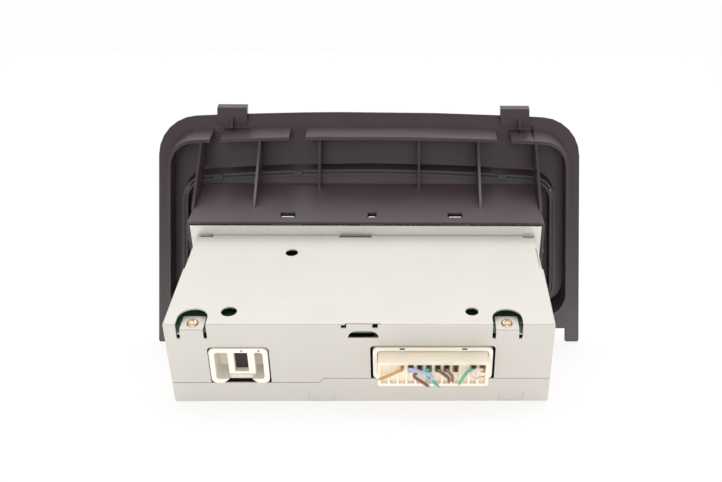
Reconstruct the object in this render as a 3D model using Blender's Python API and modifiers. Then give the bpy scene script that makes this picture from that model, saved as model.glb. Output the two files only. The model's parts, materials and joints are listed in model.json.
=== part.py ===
"""Car head unit: a folded steel radio case with a wide sloping plastic fascia.

The unit is drawn in the case's own frame (X across, Y from the wiring end to the dial end,
Z up) and hung from one empty, which leans the whole unit back until it stands on the rear
edge of its case and on the two feet of the fascia.
"""

import bpy
import bmesh
import math
from mathutils import Vector

mm = 0.001
degree = math.pi / 180

# Driving dimensions of the case
case_width = 178 * mm
case_height = 46.3 * mm
case_depth = 76.2 * mm
sheet = 0.8 * mm
fold_radius = 0.9 * mm
seam_low = 11.9 * mm
seam_high = 14.4 * mm
side_flap_depth = 45 * mm
fit_gap = 0.3 * mm
overrun = 5 * mm

# Driving dimensions of the fascia
face_tilt = 30.8 * degree
face_reach = 18.28 * mm
opening_rise = 2.73 * mm
face_foot_drop = 7.5 * mm
face_skin = 2.5 * mm
face_arch_radius = 2000 * mm
face_corner_radius = 22 * mm
face_edge_radius = 0.8 * mm
ledge_inset = 8 * mm
ledge_wall = 1.8 * mm
ledge_depth = 13.9 * mm
ledge_low_inset = 17.9 * mm
opening_side_inset = 16.2 * mm
opening_side_spill = 9.7 * mm
opening_spill = 2.36 * mm
opening_top = 30.4 * mm
opening_low_inset = 21.3 * mm
opening_arch_radius = 1200 * mm
opening_corner_radius = 12 * mm

# Driving dimensions of the hood that joins the fascia to the case
hood_side_gap = 4.3 * mm
hood_top_gap = 7.5 * mm
hood_low_gap = 5 * mm
hood_wall = 1.4 * mm
hood_gap = 0.8 * mm

# Driving dimensions of the controls
panel_back = 0.3 * mm
panel_skin = 2.5 * mm
knob_side_inset = 22 * mm
knob_radius = 14 * mm
knob_height = 15 * mm
knob_clear = 13 * mm
button_gap = 3.6 * mm
button_height = 8 * mm
button_count = 6
button_travel = 1 * mm
display_short = 8 * mm
display_height = 22 * mm
knob_drop_share = 0.528
display_drop_share = 0.331
preset_drop_share = 0.669
function_drop_share = 0.851
board_thick = 1.6 * mm
screw_shank = 1.3 * mm
screw_clearance = 1.6 * mm

# Driving dimensions of the two connectors, counted in from the sides of the case
main_socket_inset = 27.9 * mm
main_socket_width = 55.5 * mm
main_socket_low = 14.9 * mm
main_socket_high = 33.4 * mm
small_socket_inset = 19.2 * mm
small_socket_width = 27 * mm
small_socket_low = 12.6 * mm
small_socket_high = 32.8 * mm

# Sizes that follow from the driving ones
half_width = case_width / 2
hood_half = half_width + hood_side_gap
hood_top = case_height + hood_top_gap
hood_bottom = -hood_low_gap
hood_rear = case_depth + hood_gap
opening_width = 2 * (hood_half + opening_side_spill)
opening_height = (hood_top - hood_bottom + opening_spill) / math.cos(face_tilt)
opening_bottom = opening_top + opening_height
ledge_bottom = opening_bottom + opening_low_inset - ledge_low_inset
face_width = opening_width + 2 * opening_side_inset
face_height = opening_bottom + opening_low_inset
face_top_height = hood_bottom + opening_rise + opening_bottom * math.cos(face_tilt)
face_top_forward = case_depth + face_reach + opening_bottom * math.sin(face_tilt)
knob_spread = opening_width - 2 * knob_side_inset
knob_drop = opening_top + knob_drop_share * opening_height
display_drop = opening_top + display_drop_share * opening_height
preset_drop = opening_top + preset_drop_share * opening_height
function_drop = opening_top + function_drop_share * opening_height
button_pitch = (knob_spread - 2 * knob_radius - 2 * knob_clear) / button_count
button_width = button_pitch - button_gap
display_width = button_count * button_pitch - display_short
main_socket_span = (half_width - main_socket_inset - main_socket_width,
                    half_width - main_socket_inset)
small_socket_span = (small_socket_inset - half_width,
                     small_socket_inset + small_socket_width - half_width)

for thing in list(bpy.data.objects):
    bpy.data.objects.remove(thing, do_unlink=True)

unit_parts = bpy.data.collections.new("car_head_unit")
cutters = bpy.data.collections.new("cutters")
bpy.context.scene.collection.children.link(unit_parts)
bpy.context.scene.collection.children.link(cutters)


def finish(name, colour, roughness, metallic=0.0):
    """A Principled finish."""
    material = bpy.data.materials.new(name)
    material.use_nodes = True
    shader = material.node_tree.nodes["Principled BSDF"]
    shader.inputs["Base Color"].default_value = (*colour, 1)
    shader.inputs["Roughness"].default_value = roughness
    shader.inputs["Metallic"].default_value = metallic
    material.diffuse_color = (*colour, 1)
    return material


plated_steel = finish("plated_steel", (0.72, 0.70, 0.66), 0.42, 0.8)
frame_steel = finish("frame_steel", (0.66, 0.65, 0.62), 0.40, 0.9)
charcoal_plastic = finish("charcoal_plastic", (0.075, 0.055, 0.062), 0.55)
panel_plastic = finish("panel_plastic", (0.045, 0.038, 0.042), 0.50)
knob_plastic = finish("knob_plastic", (0.03, 0.027, 0.029), 0.45)
button_plastic = finish("button_plastic", (0.06, 0.052, 0.056), 0.50)
smoked_plastic = finish("smoked_plastic", (0.01, 0.014, 0.013), 0.08)
glass = finish("glass", (0.10, 0.16, 0.12), 0.15)
green_board = finish("green_board", (0.05, 0.15, 0.09), 0.45)
brass = finish("brass", (0.72, 0.50, 0.22), 0.32, 1.0)
zinc = finish("zinc", (0.68, 0.68, 0.68), 0.32, 1.0)
white_nylon = finish("white_nylon", (0.86, 0.82, 0.74), 0.45)
cream_nylon = finish("cream_nylon", (0.83, 0.75, 0.60), 0.50)
black_epoxy = finish("black_epoxy", (0.02, 0.02, 0.02), 0.55)
blue_sleeve = finish("blue_sleeve", (0.03, 0.05, 0.16), 0.40)
bare_aluminium = finish("bare_aluminium", (0.75, 0.75, 0.76), 0.38, 1.0)
copper_wire = finish("copper_wire", (0.60, 0.28, 0.12), 0.35, 1.0)
wire_jacket = finish("wire_jacket", (0.20, 0.34, 0.45), 0.50)
ribbon_film = finish("ribbon_film", (0.78, 0.74, 0.66), 0.40)


def frame(name, parent=None, place=(0, 0, 0), turn=(0, 0, 0)):
    """An empty that carries other pieces."""
    empty = bpy.data.objects.new(name, None)
    unit_parts.objects.link(empty)
    empty.parent = parent
    empty.location = place
    empty.rotation_euler = turn
    return empty


def keep(name, shape, parent, look, place=(0, 0, 0), turn=(0, 0, 0)):
    """Turn a bmesh into a piece of the unit, or into a cutter when it has no look."""
    mesh = bpy.data.meshes.new(name)
    bmesh.ops.recalc_face_normals(shape, faces=shape.faces)
    shape.to_mesh(mesh)
    shape.free()
    piece = bpy.data.objects.new(name, mesh)
    piece.parent = parent
    piece.location = place
    piece.rotation_euler = turn
    if look is None:
        cutters.objects.link(piece)
        piece.hide_render = True
        piece.display_type = "WIRE"
    else:
        unit_parts.objects.link(piece)
        mesh.materials.append(look)
        mesh.shade_smooth()
        mesh.set_sharp_from_angle(angle=sharp_angle)
    return piece


def block(name, low, high, parent, look=None):
    """A box between two corners."""
    low = Vector(low)
    high = Vector(high)
    shape = bmesh.new()
    bmesh.ops.create_cube(shape, size=1)
    bmesh.ops.scale(shape, vec=high - low, verts=shape.verts)
    return keep(name, shape, parent, look, (low + high) / 2)


def rod(name, radius, low, high, place, parent, look=None, turn=(0, 0, 0), sides=24):
    """A round bar along its own Z, from low to high."""
    shape = bmesh.new()
    bmesh.ops.create_cone(shape, cap_ends=True, segments=sides, radius1=radius, radius2=radius,
                          depth=high - low)
    bmesh.ops.translate(shape, vec=(0, 0, (low + high) / 2), verts=shape.verts)
    return keep(name, shape, parent, look, place, turn)


def slab(name, outlines, low, high, parent, look=None, turn=(0, 0, 0), edge=0, lean=0, place=(0, 0, 0)):
    """A flat outline (the first) with holes (the rest), thickened from low to high along Z.

    edge rounds both rims; lean shears the sides, so that they run along the case.
    """
    curve = bpy.data.curves.new(name, "CURVE")
    curve.dimensions = "2D"
    curve.fill_mode = "BOTH"
    curve.extrude = (high - low) / 2 - edge
    curve.bevel_depth = edge
    curve.bevel_resolution = 1
    curve.offset = -edge
    for outline in outlines:
        spline = curve.splines.new("POLY")
        spline.points.add(len(outline) - 1)
        for point, (x, y) in zip(spline.points, outline):
            point.co = (x, y, 0, 1)
        spline.use_cyclic_u = True
    flat = bpy.data.objects.new(name, curve)
    bpy.context.scene.collection.objects.link(flat)
    graph = bpy.context.evaluated_depsgraph_get()
    graph.update()
    mesh = bpy.data.meshes.new_from_object(flat.evaluated_get(graph))
    bpy.data.objects.remove(flat)
    shape = bmesh.new()
    shape.from_mesh(mesh)
    bmesh.ops.remove_doubles(shape, verts=shape.verts, dist=weld_distance)
    for vert in shape.verts:
        vert.co.z += (low + high) / 2
        vert.co.y += vert.co.z * math.tan(lean)
    return keep(name, shape, parent, look, place, turn)


def turned(name, profile, place, parent, look=None, turn=(0, 0, 0), steps=32):
    """A turned piece: (radius, height) points down the outer side, spun about Z."""
    mesh = bpy.data.meshes.new(name)
    points = [(radius, 0, height) for radius, height in profile]
    mesh.from_pydata(points, [(i, i + 1) for i in range(len(points) - 1)], [])
    piece = bpy.data.objects.new(name, mesh)
    piece.parent = parent
    piece.location = place
    piece.rotation_euler = turn
    spin = piece.modifiers.new("spin", "SCREW")
    spin.steps = steps
    spin.render_steps = steps
    spin.use_merge_vertices = True
    spin.merge_threshold = weld_distance
    spin.use_smooth_shade = True
    if look is None:
        cutters.objects.link(piece)
        piece.hide_render = True
        piece.display_type = "WIRE"
    else:
        unit_parts.objects.link(piece)
        mesh.materials.append(look)
    return piece


def change(piece, operation, tools):
    for tool in tools:
        step = piece.modifiers.new(tool.name, "BOOLEAN")
        step.operation = operation
        step.solver = "EXACT"
        step.object = tool


def cut(piece, *tools):
    """Take the tools out of the piece."""
    change(piece, "DIFFERENCE", tools)


def fuse(piece, *tools):
    """Mould the tools into one body with the piece."""
    change(piece, "UNION", tools)


def rounded(corners, steps=6):
    """An outline from (x, y, radius) corners, each round corner an arc."""
    outline = []
    for index, (x, y, radius) in enumerate(corners):
        here = Vector((x, y))
        if not radius:
            outline.append((x, y))
            continue
        before = (Vector(corners[index - 1][:2]) - here).normalized()
        after = (Vector(corners[(index + 1) % len(corners)][:2]) - here).normalized()
        half = before.angle(after) / 2
        centre = here + (before + after).normalized() * radius / math.sin(half)
        first = here + before * radius / math.tan(half) - centre
        last = here + after * radius / math.tan(half) - centre
        start = math.atan2(first.y, first.x)
        sweep = math.remainder(math.atan2(last.y, last.x) - start, 2 * math.pi)
        for step in range(steps + 1):
            angle = start + sweep * step / steps
            outline.append((centre.x + radius * math.cos(angle), centre.y + radius * math.sin(angle)))
    return outline


def rounded_box(x_low, x_high, y_low, y_high, radius, steps=4):
    corners = [(x_low, y_low), (x_high, y_low), (x_high, y_high), (x_low, y_high)]
    return rounded([(x, y, radius) for x, y in corners], steps)


def drop(x, arch_radius):
    """How far an arch has fallen at a distance x from its middle."""
    return arch_radius - math.sqrt(arch_radius ** 2 - x ** 2)


along_x = (math.pi / 2, 0, math.pi / 2)
along_y = (math.pi / 2, 0, 0)
sharp_angle = 35 * degree
weld_distance = 0.001 * mm

# The unit leans back about X until the fascia's feet are level with the case's rear edge
foot_end = face_height + face_foot_drop
foot_forward = (face_top_forward - foot_end * math.sin(face_tilt)
                + face_skin * math.cos(face_tilt))
foot_height = (face_top_height - foot_end * math.cos(face_tilt)
               - face_skin * math.sin(face_tilt))
rest_tilt = math.atan2(-foot_height, foot_forward)
unit = frame("unit", turn=(rest_tilt, 0, 0))

# The face frame has its origin at the top middle of the fascia's rear surface,
# +Y up the slope and +Z straight out of the front
face = frame("face", unit, (0, face_top_forward, face_top_height),
             (math.pi / 2 + face_tilt, 0, math.pi))


def down_face(drop_length, back=0):
    """Case-frame (Y, Z) of a point down the slope and then back along the case."""
    return (face_top_forward - drop_length * math.sin(face_tilt) - back,
            face_top_height - drop_length * math.cos(face_tilt))


# Top cover: one folded sheet with a rear wall and two short side flaps
top_cover_bottom = seam_low + fit_gap
flap_inset = 0.9 * mm
tongue_insets = (12.6 * mm, 21.7 * mm)
tongue_places = (tongue_insets[0] - half_width, half_width - tongue_insets[1])
tongue_half_width = 5.3 * mm
tongue_slot = 1.6 * mm
tongue_foot_height = 38.2 * mm
tongue_sink = 3.2 * mm
tongue_reach = 10.4 * mm
tongue_screw_reach = 5 * mm
tongue_round_share = 0.98
front_vent_inset = 16.7 * mm
vent_holes = ((-37.2 * mm, case_depth - front_vent_inset, 3.2 * mm),
              (-60.5 * mm, 9.7 * mm, 3.7 * mm),
              (51.3 * mm, 9.9 * mm, 3.1 * mm))
seam_step_x = -19 * mm
seam_step_run = 1.4 * mm
moon_middle = 1.4 * mm
moon_half_width = 7 * mm
moon_low = 38.6 * mm
moon_rise = 3.8 * mm
notch_half_width = 8.2 * mm
notch_depth = 1.1 * mm
connector_clear = 0.6 * mm
main_cut_spill = 1.2 * mm
cut_corner = 2 * mm
left_slot_insets = (2.8 * mm, 9.2 * mm)
middle_slot = (-14.2 * mm, 2.6 * mm)
right_slot_insets = (7.4 * mm, 1.4 * mm)
hook_slots = ([inset - half_width for inset in left_slot_insets], middle_slot,
              [half_width - inset for inset in right_slot_insets])
hook_slot_depth = 2 * mm
side_slit_inset = 2 * mm
side_slit_front = 12 * mm
side_slit_length = 17.5 * mm
side_slit_width = 0.6 * mm


def folded_box(name, low, high, open_low, open_high, look):
    """A box of sheet metal with folded edges, hollowed between two open corners."""
    body = block(name, low, high, unit, look)
    fold = body.modifiers.new("fold", "BEVEL")
    fold.width = fold_radius
    fold.segments = 3
    cut(body, block(name + "_hollow", open_low, open_high, unit))
    return body


top_cover = folded_box(
    "top_cover",
    (-half_width, 0, top_cover_bottom - overrun), (half_width, case_depth + overrun, case_height),
    (-half_width + sheet, sheet, -overrun), (half_width - sheet, case_depth + 2 * overrun,
                                             case_height - sheet), plated_steel)
seam_line = [(-half_width - overrun, -overrun), (half_width + overrun, -overrun),
             (half_width + overrun, seam_high + fit_gap),
             (seam_step_x + seam_step_run, seam_high + fit_gap),
             (seam_step_x - seam_step_run / 2, seam_low + fit_gap),
             (-half_width - overrun, seam_low + fit_gap)]
cut(top_cover,
    slab("below_seam", [seam_line], -case_depth - overrun, overrun, unit, turn=along_y),
    block("ahead_of_cover", (-case_width, case_depth, -overrun),
          (case_width, case_depth + 2 * overrun, 2 * case_height), unit))
for side in (-1, 1):
    edge_x = sorted((side * (half_width - flap_inset), side * (half_width + overrun)))
    cut(top_cover, block(f"flap_end_{side}", (edge_x[0], side_flap_depth, -overrun),
                         (edge_x[1], case_depth + 2 * overrun, 2 * case_height), unit))
for index, (x, y, radius) in enumerate(vent_holes):
    cut(top_cover, rod(f"vent_hole_{index}", radius, 0, 2 * sheet + fit_gap,
                       (x, y, case_height - sheet - fit_gap), unit))
connector_cuts = ((small_socket_span[0] - connector_clear, small_socket_span[1] + connector_clear,
                   small_socket_high + fit_gap),
                  (main_socket_span[0] - main_cut_spill, main_socket_span[1] + main_cut_spill,
                   main_socket_high + connector_clear))
for index, (low_x, high_x, high_z) in enumerate(connector_cuts):
    window = rounded([(low_x, -overrun, 0), (high_x, -overrun, 0),
                      (high_x, high_z, cut_corner), (low_x, high_z, cut_corner)])
    cut(top_cover, slab(f"connector_cut_{index}", [window], -overrun, overrun, unit, turn=along_y))
moon = rounded([(moon_middle - moon_half_width, moon_low, 0),
                (moon_middle + moon_half_width, moon_low, 0),
                (moon_middle + moon_half_width, moon_low + moon_rise, moon_rise),
                (moon_middle - moon_half_width, moon_low + moon_rise, moon_rise)])
cut(top_cover,
    slab("moon_hole", [moon], -overrun, overrun, unit, turn=along_y),
    block("rear_notch", (moon_middle - notch_half_width, -overrun, case_height - notch_depth / 2),
          (moon_middle + notch_half_width, notch_depth, case_height + overrun), unit))
for index, (low_x, high_x) in enumerate(hook_slots):
    cut(top_cover, block(f"hook_slot_{index}",
                         (low_x, case_depth - hook_slot_depth, case_height - overrun),
                         (high_x, case_depth + overrun, case_height + overrun), unit))
side_slit_x = half_width - side_slit_inset
side_slit_y = case_depth - side_slit_front
cut(top_cover, block("side_slit", (side_slit_x, side_slit_y - side_slit_length,
                                   case_height - overrun),
                     (side_slit_x + side_slit_width, side_slit_y, case_height + overrun), unit))
for index, x in enumerate(tongue_places):
    slot_edge = tongue_half_width + tongue_slot
    lobe = rounded([(x - slot_edge, -overrun, 0), (x + slot_edge, -overrun, 0),
                    (x + slot_edge, tongue_reach + tongue_slot, tongue_round_share * slot_edge),
                    (x - slot_edge, tongue_reach + tongue_slot, tongue_round_share * slot_edge)])
    cut(top_cover,
        slab(f"tongue_window_{index}", [lobe], case_height - 2 * tongue_sink,
             case_height + overrun, unit),
        block(f"tongue_wall_window_{index}", (x - slot_edge, -overrun, tongue_foot_height),
              (x + slot_edge, sheet + fit_gap, case_height + overrun), unit))
    bend = rounded([(0, tongue_foot_height - sheet, 0), (sheet, tongue_foot_height - sheet, 0),
                    (sheet, case_height - tongue_sink - sheet, fold_radius),
                    (tongue_reach, case_height - tongue_sink - sheet, 0),
                    (tongue_reach, case_height - tongue_sink, 0),
                    (0, case_height - tongue_sink, fold_radius + sheet)])
    fuse(top_cover, slab(f"tongue_{index}", [bend], x - tongue_half_width, x + tongue_half_width,
                         unit, turn=along_x))
    cut(top_cover, rod(f"tongue_hole_{index}", screw_clearance, 0, 2 * tongue_sink,
                       (x, tongue_screw_reach, case_height - 2 * tongue_sink), unit, sides=16))

# Bottom cover: a shallow folded tray that meets the top cover at a stepped seam
emboss_places = ((-25.4 * mm, -12.9 * mm), (65 * mm, 77 * mm))
emboss_height = 6.6 * mm
emboss_sink = 0.35 * mm

bottom_cover = folded_box(
    "bottom_cover",
    (-half_width, 0, 0), (half_width, case_depth + overrun, seam_high + overrun),
    (-half_width + sheet, sheet, sheet),
    (half_width - sheet, case_depth + 2 * overrun, seam_high + 2 * overrun), plated_steel)
above_seam = [(-half_width - overrun, seam_low), (seam_step_x - seam_step_run / 2, seam_low),
              (seam_step_x + seam_step_run, seam_high), (half_width + overrun, seam_high),
              (half_width + overrun, case_height), (-half_width - overrun, case_height)]
cut(bottom_cover,
    slab("above_seam", [above_seam], -case_depth - 2 * overrun, overrun, unit, turn=along_y),
    block("ahead_of_tray", (-case_width, case_depth, -overrun),
          (case_width, case_depth + 2 * overrun, case_height), unit))
for index, (low_x, high_x) in enumerate(emboss_places):
    cut(bottom_cover, block(f"emboss_{index}", (low_x, -overrun, -overrun),
                            (high_x, emboss_sink, emboss_height), unit))

# Side frames: the steel cheeks inside the covers, with a top flange and two board lugs each
cheek_sheet = 0.9 * mm
cheek_outer = half_width - sheet - fit_gap
cheek_inner = cheek_outer - cheek_sheet
cheek_flange = 6 * mm
lug_front_reach = 8 * mm
lug_depth = 7 * mm
lug_rear = 1.6 * mm
board_rear = 1.4 * mm
board_front_gap = 2.2 * mm
board_front = case_depth - board_front_gap
lug_front_inset = 10 * mm
lug_front = board_front - lug_front_inset
lug_past_screw = 4 * mm
board_top = case_height - tongue_sink - sheet - fit_gap
board_low = board_top - board_thick
lug_top = board_low - fit_gap

for side, name, screw_x in ((-1, "left_side_frame", tongue_places[0]),
                            (1, "right_side_frame", tongue_places[1])):
    def across(near, far):
        return sorted((side * near, side * far))

    low_x, high_x = across(cheek_outer, cheek_inner)
    cheek = block(name, (low_x, sheet + fit_gap, sheet + fit_gap),
                  (high_x, case_depth, case_height - sheet - fit_gap), unit, frame_steel)
    low_x, high_x = across(cheek_outer - cheek_sheet / 2, cheek_outer - cheek_flange)
    fuse(cheek, block(name + "_flange", (low_x, 2 * lug_depth, case_height - sheet - fit_gap - cheek_sheet),
                      (high_x, case_depth, case_height - sheet - fit_gap), unit))
    low_x, high_x = across(cheek_outer - cheek_sheet / 2, abs(screw_x) - lug_past_screw)
    fuse(cheek, block(name + "_rear_lug", (low_x, lug_rear, lug_top - cheek_sheet),
                      (high_x, lug_rear + lug_depth, lug_top), unit))
    low_x, high_x = across(cheek_outer - cheek_sheet / 2, cheek_outer - lug_front_reach)
    fuse(cheek, block(name + "_front_lug", (low_x, lug_front, lug_top - cheek_sheet),
                      (high_x, lug_front + lug_depth, lug_top), unit))
    cut(cheek, rod(name + "_screw_hole", screw_clearance, -overrun, overrun,
                   (screw_x, tongue_screw_reach, lug_top), unit, sides=12))

# Front frame: the flange plate that closes the front of the case and carries the fascia
flange_rear = case_depth + fit_gap
flange_sheet = 0.8 * mm
hood_side_clear = 0.4 * mm
hood_top_clear = 0.6 * mm
flange_half_width = hood_half - hood_wall - hood_side_clear
flange_top = hood_top - hood_wall - hood_top_clear
flange_bottom = hood_bottom + hood_wall + hood_side_clear
flange_window_inset = 12 * mm
flange_window_low = 5 * mm
flange_window_head = 3.3 * mm
hook_places = ((-45 * mm, -38 * mm), (0.6 * mm, 4.6 * mm), (42.8 * mm, 49.8 * mm))
hook_reach = 6.4 * mm
hook_rear = case_depth + hook_reach
hook_sheet = 1 * mm
hook_rise = 1.7 * mm
shelf_reach = 9 * mm
shelf_spill = 4 * mm
ear_reach = 15 * mm
ear_low = 12 * mm
ear_high = 36 * mm
hood_screw_reach = 9.8 * mm
hood_screw_forward = case_depth + hood_screw_reach
hood_screw_heights = (17 * mm, 31 * mm)

front_frame = block("front_frame", (-flange_half_width, flange_rear, flange_bottom),
                    (flange_half_width, flange_rear + flange_sheet, flange_top), unit, frame_steel)
cut(front_frame, block("flange_window", (-flange_half_width + flange_window_inset, 0, flange_window_low),
                       (flange_half_width - flange_window_inset, case_depth + overrun,
                        case_height - flange_window_head), unit))
for index, (low_x, high_x) in enumerate(hook_places):
    fuse(front_frame,
         block(f"shelf_{index}", (low_x - shelf_spill, flange_rear + flange_sheet / 2,
                                  flange_top - flange_sheet),
               (high_x + shelf_spill, flange_rear + shelf_reach, flange_top), unit),
         block(f"hook_{index}", (low_x + fit_gap, hook_rear, flange_top - flange_sheet / 2),
               (high_x - fit_gap, hook_rear + hook_sheet, flange_top + hook_rise), unit))
for side in (-1, 1):
    low_x, high_x = sorted((side * flange_half_width, side * (flange_half_width - flange_sheet)))
    fuse(front_frame, block(f"ear_{side}", (low_x, flange_rear + flange_sheet / 2, ear_low),
                            (high_x, flange_rear + ear_reach, ear_high), unit))
    for index, z in enumerate(hood_screw_heights):
        cut(front_frame, rod(f"ear_hole_{side}_{index}", screw_clearance, -overrun, overrun,
                             (side * flange_half_width, hood_screw_forward, z), unit,
                             turn=along_x, sides=12))


def arched(half, top, bottom, arch_radius, corner, arch_steps=8):
    """An outline on the face whose top and bottom edges are the same shallow arch."""
    inner = half - 1.2 * corner
    spans = [inner * (2 * step / arch_steps - 1) for step in range(arch_steps + 1)]
    low_corner = (-half, -bottom - drop(half, arch_radius), corner)
    high_corner = (half, -top - drop(half, arch_radius), corner)
    low_edge = [(x, -bottom - drop(x, arch_radius), 0) for x in spans]
    high_edge = [(x, -top - drop(x, arch_radius), 0) for x in reversed(spans)]
    return rounded([low_corner, *low_edge, (half, low_corner[1], corner),
                    high_corner, *high_edge, (-half, high_corner[1], corner)])


# Fascia: one charcoal moulding with its rim, stiffening ledge, opening wall, hood and gussets
foot_width = 8 * mm
foot_cut_radius = 1.2 * mm
ridge_wall = 1.3 * mm
ridge_depth = 7.4 * mm
moulding_lap = 0.6 * mm
web = 1.3 * mm
gusset_shares = (1, 0.6474, 0.2947)
gusset_foot_shares = (0.313, 0.3155, 0.861)
gusset_clear = 10 * mm
clip_spans = ((-85.6 * mm, -69 * mm, -77.4 * mm), (73.6 * mm, 90 * mm, 84.4 * mm))
clip_rise = 4.9 * mm
clip_thick = 3.4 * mm
clip_root = 4 * mm
clip_rib_root = 10.2 * mm
clip_rib_back = 4.4 * mm
ledge_gaps = ((-88 * mm, -82 * mm), (71 * mm, 79 * mm), (-44.4 * mm, -35.3 * mm))
hood_corner = 2.5 * mm
slot_clear = 0.4 * mm
roof_slot_depth = 4.4 * mm
floor_web_shares = (-0.6474, -0.2144, 0.2144, 0.6474)

face_half = face_width / 2
arch_spans = [(face_half - 1.2 * face_corner_radius) * (1 - step / 5) for step in range(11)]
foot_inside = face_half - foot_width
outline = rounded(
    [(-foot_inside, -foot_end, foot_cut_radius), (-foot_inside, -face_height, 0),
     (foot_inside, -face_height, 0), (foot_inside, -foot_end, foot_cut_radius),
     (face_half, -foot_end, foot_cut_radius),
     (face_half, -drop(face_half, face_arch_radius), face_corner_radius)]
    + [(x, -drop(x, face_arch_radius), 0) for x in arch_spans]
    + [(-face_half, -drop(face_half, face_arch_radius), face_corner_radius),
       (-face_half, -foot_end, foot_cut_radius)])
opening_half = opening_width / 2
opening = arched(opening_half, opening_top, opening_bottom, opening_arch_radius, opening_corner_radius)
slope_depth = math.cos(face_tilt)

fascia = slab("fascia", [outline, opening], 0, face_skin, face, charcoal_plastic,
              edge=face_edge_radius)
ledge_half = face_half - ledge_inset
ledge_outer = arched(ledge_half, ledge_inset, ledge_bottom + ledge_wall, face_arch_radius,
                     face_corner_radius - ledge_inset)
ledge_inner = arched(ledge_half - ledge_wall, ledge_inset + ledge_wall, ledge_bottom,
                     face_arch_radius, face_corner_radius - ledge_inset - ledge_wall)
ridge_outer = arched(opening_half + ridge_wall, opening_top - ridge_wall,
                     opening_bottom + ridge_wall, opening_arch_radius,
                     opening_corner_radius + ridge_wall)
ledge = slab("ledge", [ledge_outer, ledge_inner], -ledge_depth * slope_depth, moulding_lap, face,
             lean=face_tilt)
for index, (low_x, high_x) in enumerate(ledge_gaps):
    cut(ledge, block(f"ledge_gap_{index}", (-high_x, -opening_top, -ledge_depth),
                     (-low_x, 0, -fit_gap), face))
ridge = slab("ridge", [ridge_outer, opening], -ridge_depth * slope_depth, moulding_lap, face,
             lean=face_tilt)
fuse(fascia, ledge, ridge)

hood_outline = rounded_box(-hood_half, hood_half, hood_bottom, hood_top, hood_corner)
hood_inside = rounded_box(-hood_half + hood_wall, hood_half - hood_wall, hood_bottom + hood_wall,
                          hood_top - hood_wall, hood_corner - hood_wall)
hood = slab("hood", [hood_outline, hood_inside], -face_top_forward, -hood_rear, unit, turn=along_y)
cut(hood, block("hood_front_cut", (-face_width, -2 * face_height, -gusset_clear * slope_depth),
                (face_width, face_height, face_top_forward), face))
for index, (low_x, high_x) in enumerate(hook_places):
    cut(hood, block(f"roof_slot_{index}", (low_x - slot_clear, hook_rear - slot_clear, flange_top),
                    (high_x + slot_clear, hook_rear + roof_slot_depth, hood_top + overrun), unit))
for side in (-1, 1):
    for index, z in enumerate(hood_screw_heights):
        cut(hood, rod(f"hood_hole_{side}_{index}", screw_clearance, -overrun, overrun,
                      (side * hood_half, hood_screw_forward, z), unit, turn=along_x, sides=12))
fuse(fascia, hood)

roof_grip = hood_wall / 2
roof_front = (down_face(0, gusset_clear)[0]
              - (face_top_height - hood_top) * math.tan(face_tilt))
for side in (-1, 1):
    for index, (share, foot_share) in enumerate(zip(gusset_shares, gusset_foot_shares)):
        middle = side * min(share * hood_half, hood_half - web / 2)
        plate_outline = [down_face(ledge_inset + ledge_wall / 2, ledge_depth - web),
                         (hood_rear + foot_share * (roof_front - hood_rear),
                          hood_top - roof_grip),
                         (roof_front, hood_top - roof_grip),
                         down_face(opening_top - ridge_wall / 2, gusset_clear),
                         down_face(opening_top - ridge_wall, -moulding_lap / 2),
                         down_face(ledge_inset + ledge_wall / 2, -moulding_lap / 2)]
        fuse(fascia, slab(f"gusset_{side}_{index}", [plate_outline], middle - web / 2,
                          middle + web / 2, unit, turn=along_x))
for index, share in enumerate(floor_web_shares):
    x = share * hood_half
    web_outline = [down_face(ledge_bottom + ledge_wall + drop(x, face_arch_radius) - moulding_lap,
                             ledge_depth - web),
                   down_face(ledge_bottom + ledge_wall + drop(x, face_arch_radius) - moulding_lap,
                             gusset_clear + web),
                   (down_face(0, gusset_clear + web)[0] - (face_top_height - hood_bottom)
                    * math.tan(face_tilt), hood_bottom + roof_grip),
                   (hood_rear + web, hood_bottom + roof_grip)]
    fuse(fascia, slab(f"floor_web_{index}", [web_outline], x - web / 2, x + web / 2, unit,
                      turn=along_x))
for index, (low_x, high_x, rib_x) in enumerate(clip_spans):
    rib = [(clip_rise - moulding_lap, -clip_thick + moulding_lap), (clip_rise - moulding_lap, moulding_lap / 2),
           (-clip_rib_root, moulding_lap / 2), (-clip_rib_root, -clip_rib_back)]
    fuse(fascia,
         block(f"clip_{index}", (-high_x, -clip_root, -clip_thick), (-low_x, clip_rise, moulding_lap),
               face),
         slab(f"clip_rib_{index}", [rib], -rib_x - web / 2, -rib_x + web / 2, face, turn=along_x))

# Front panel: the control moulding that snaps into the fascia's opening
panel_clear = 0.5 * mm
panel_edge = 0.5 * mm
panel_front = panel_back + panel_skin
skirt_wall = 1.5 * mm
skirt_depth = 7.9 * mm
skirt_lap = 0.2 * mm
snap_shares = (-0.8195, -0.3902, 0.722)
snap_half_width = 2.5 * mm
snap_thick = 1 * mm
snap_over = 1.1 * mm
bushing_radius = 4.5 * mm
bushing_hole = 4.9 * mm
board_behind = 11 * mm
boss_radius = 2.5 * mm
boss_bore = 0.9 * mm
boss_side_inset = 17.5 * mm
boss_drop_shares = (0.282, 0.907)
peg_radius = 1.2 * mm
peg_past_board = 1 * mm
button_corner = 1.2 * mm
window_corner = 2 * mm

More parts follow.
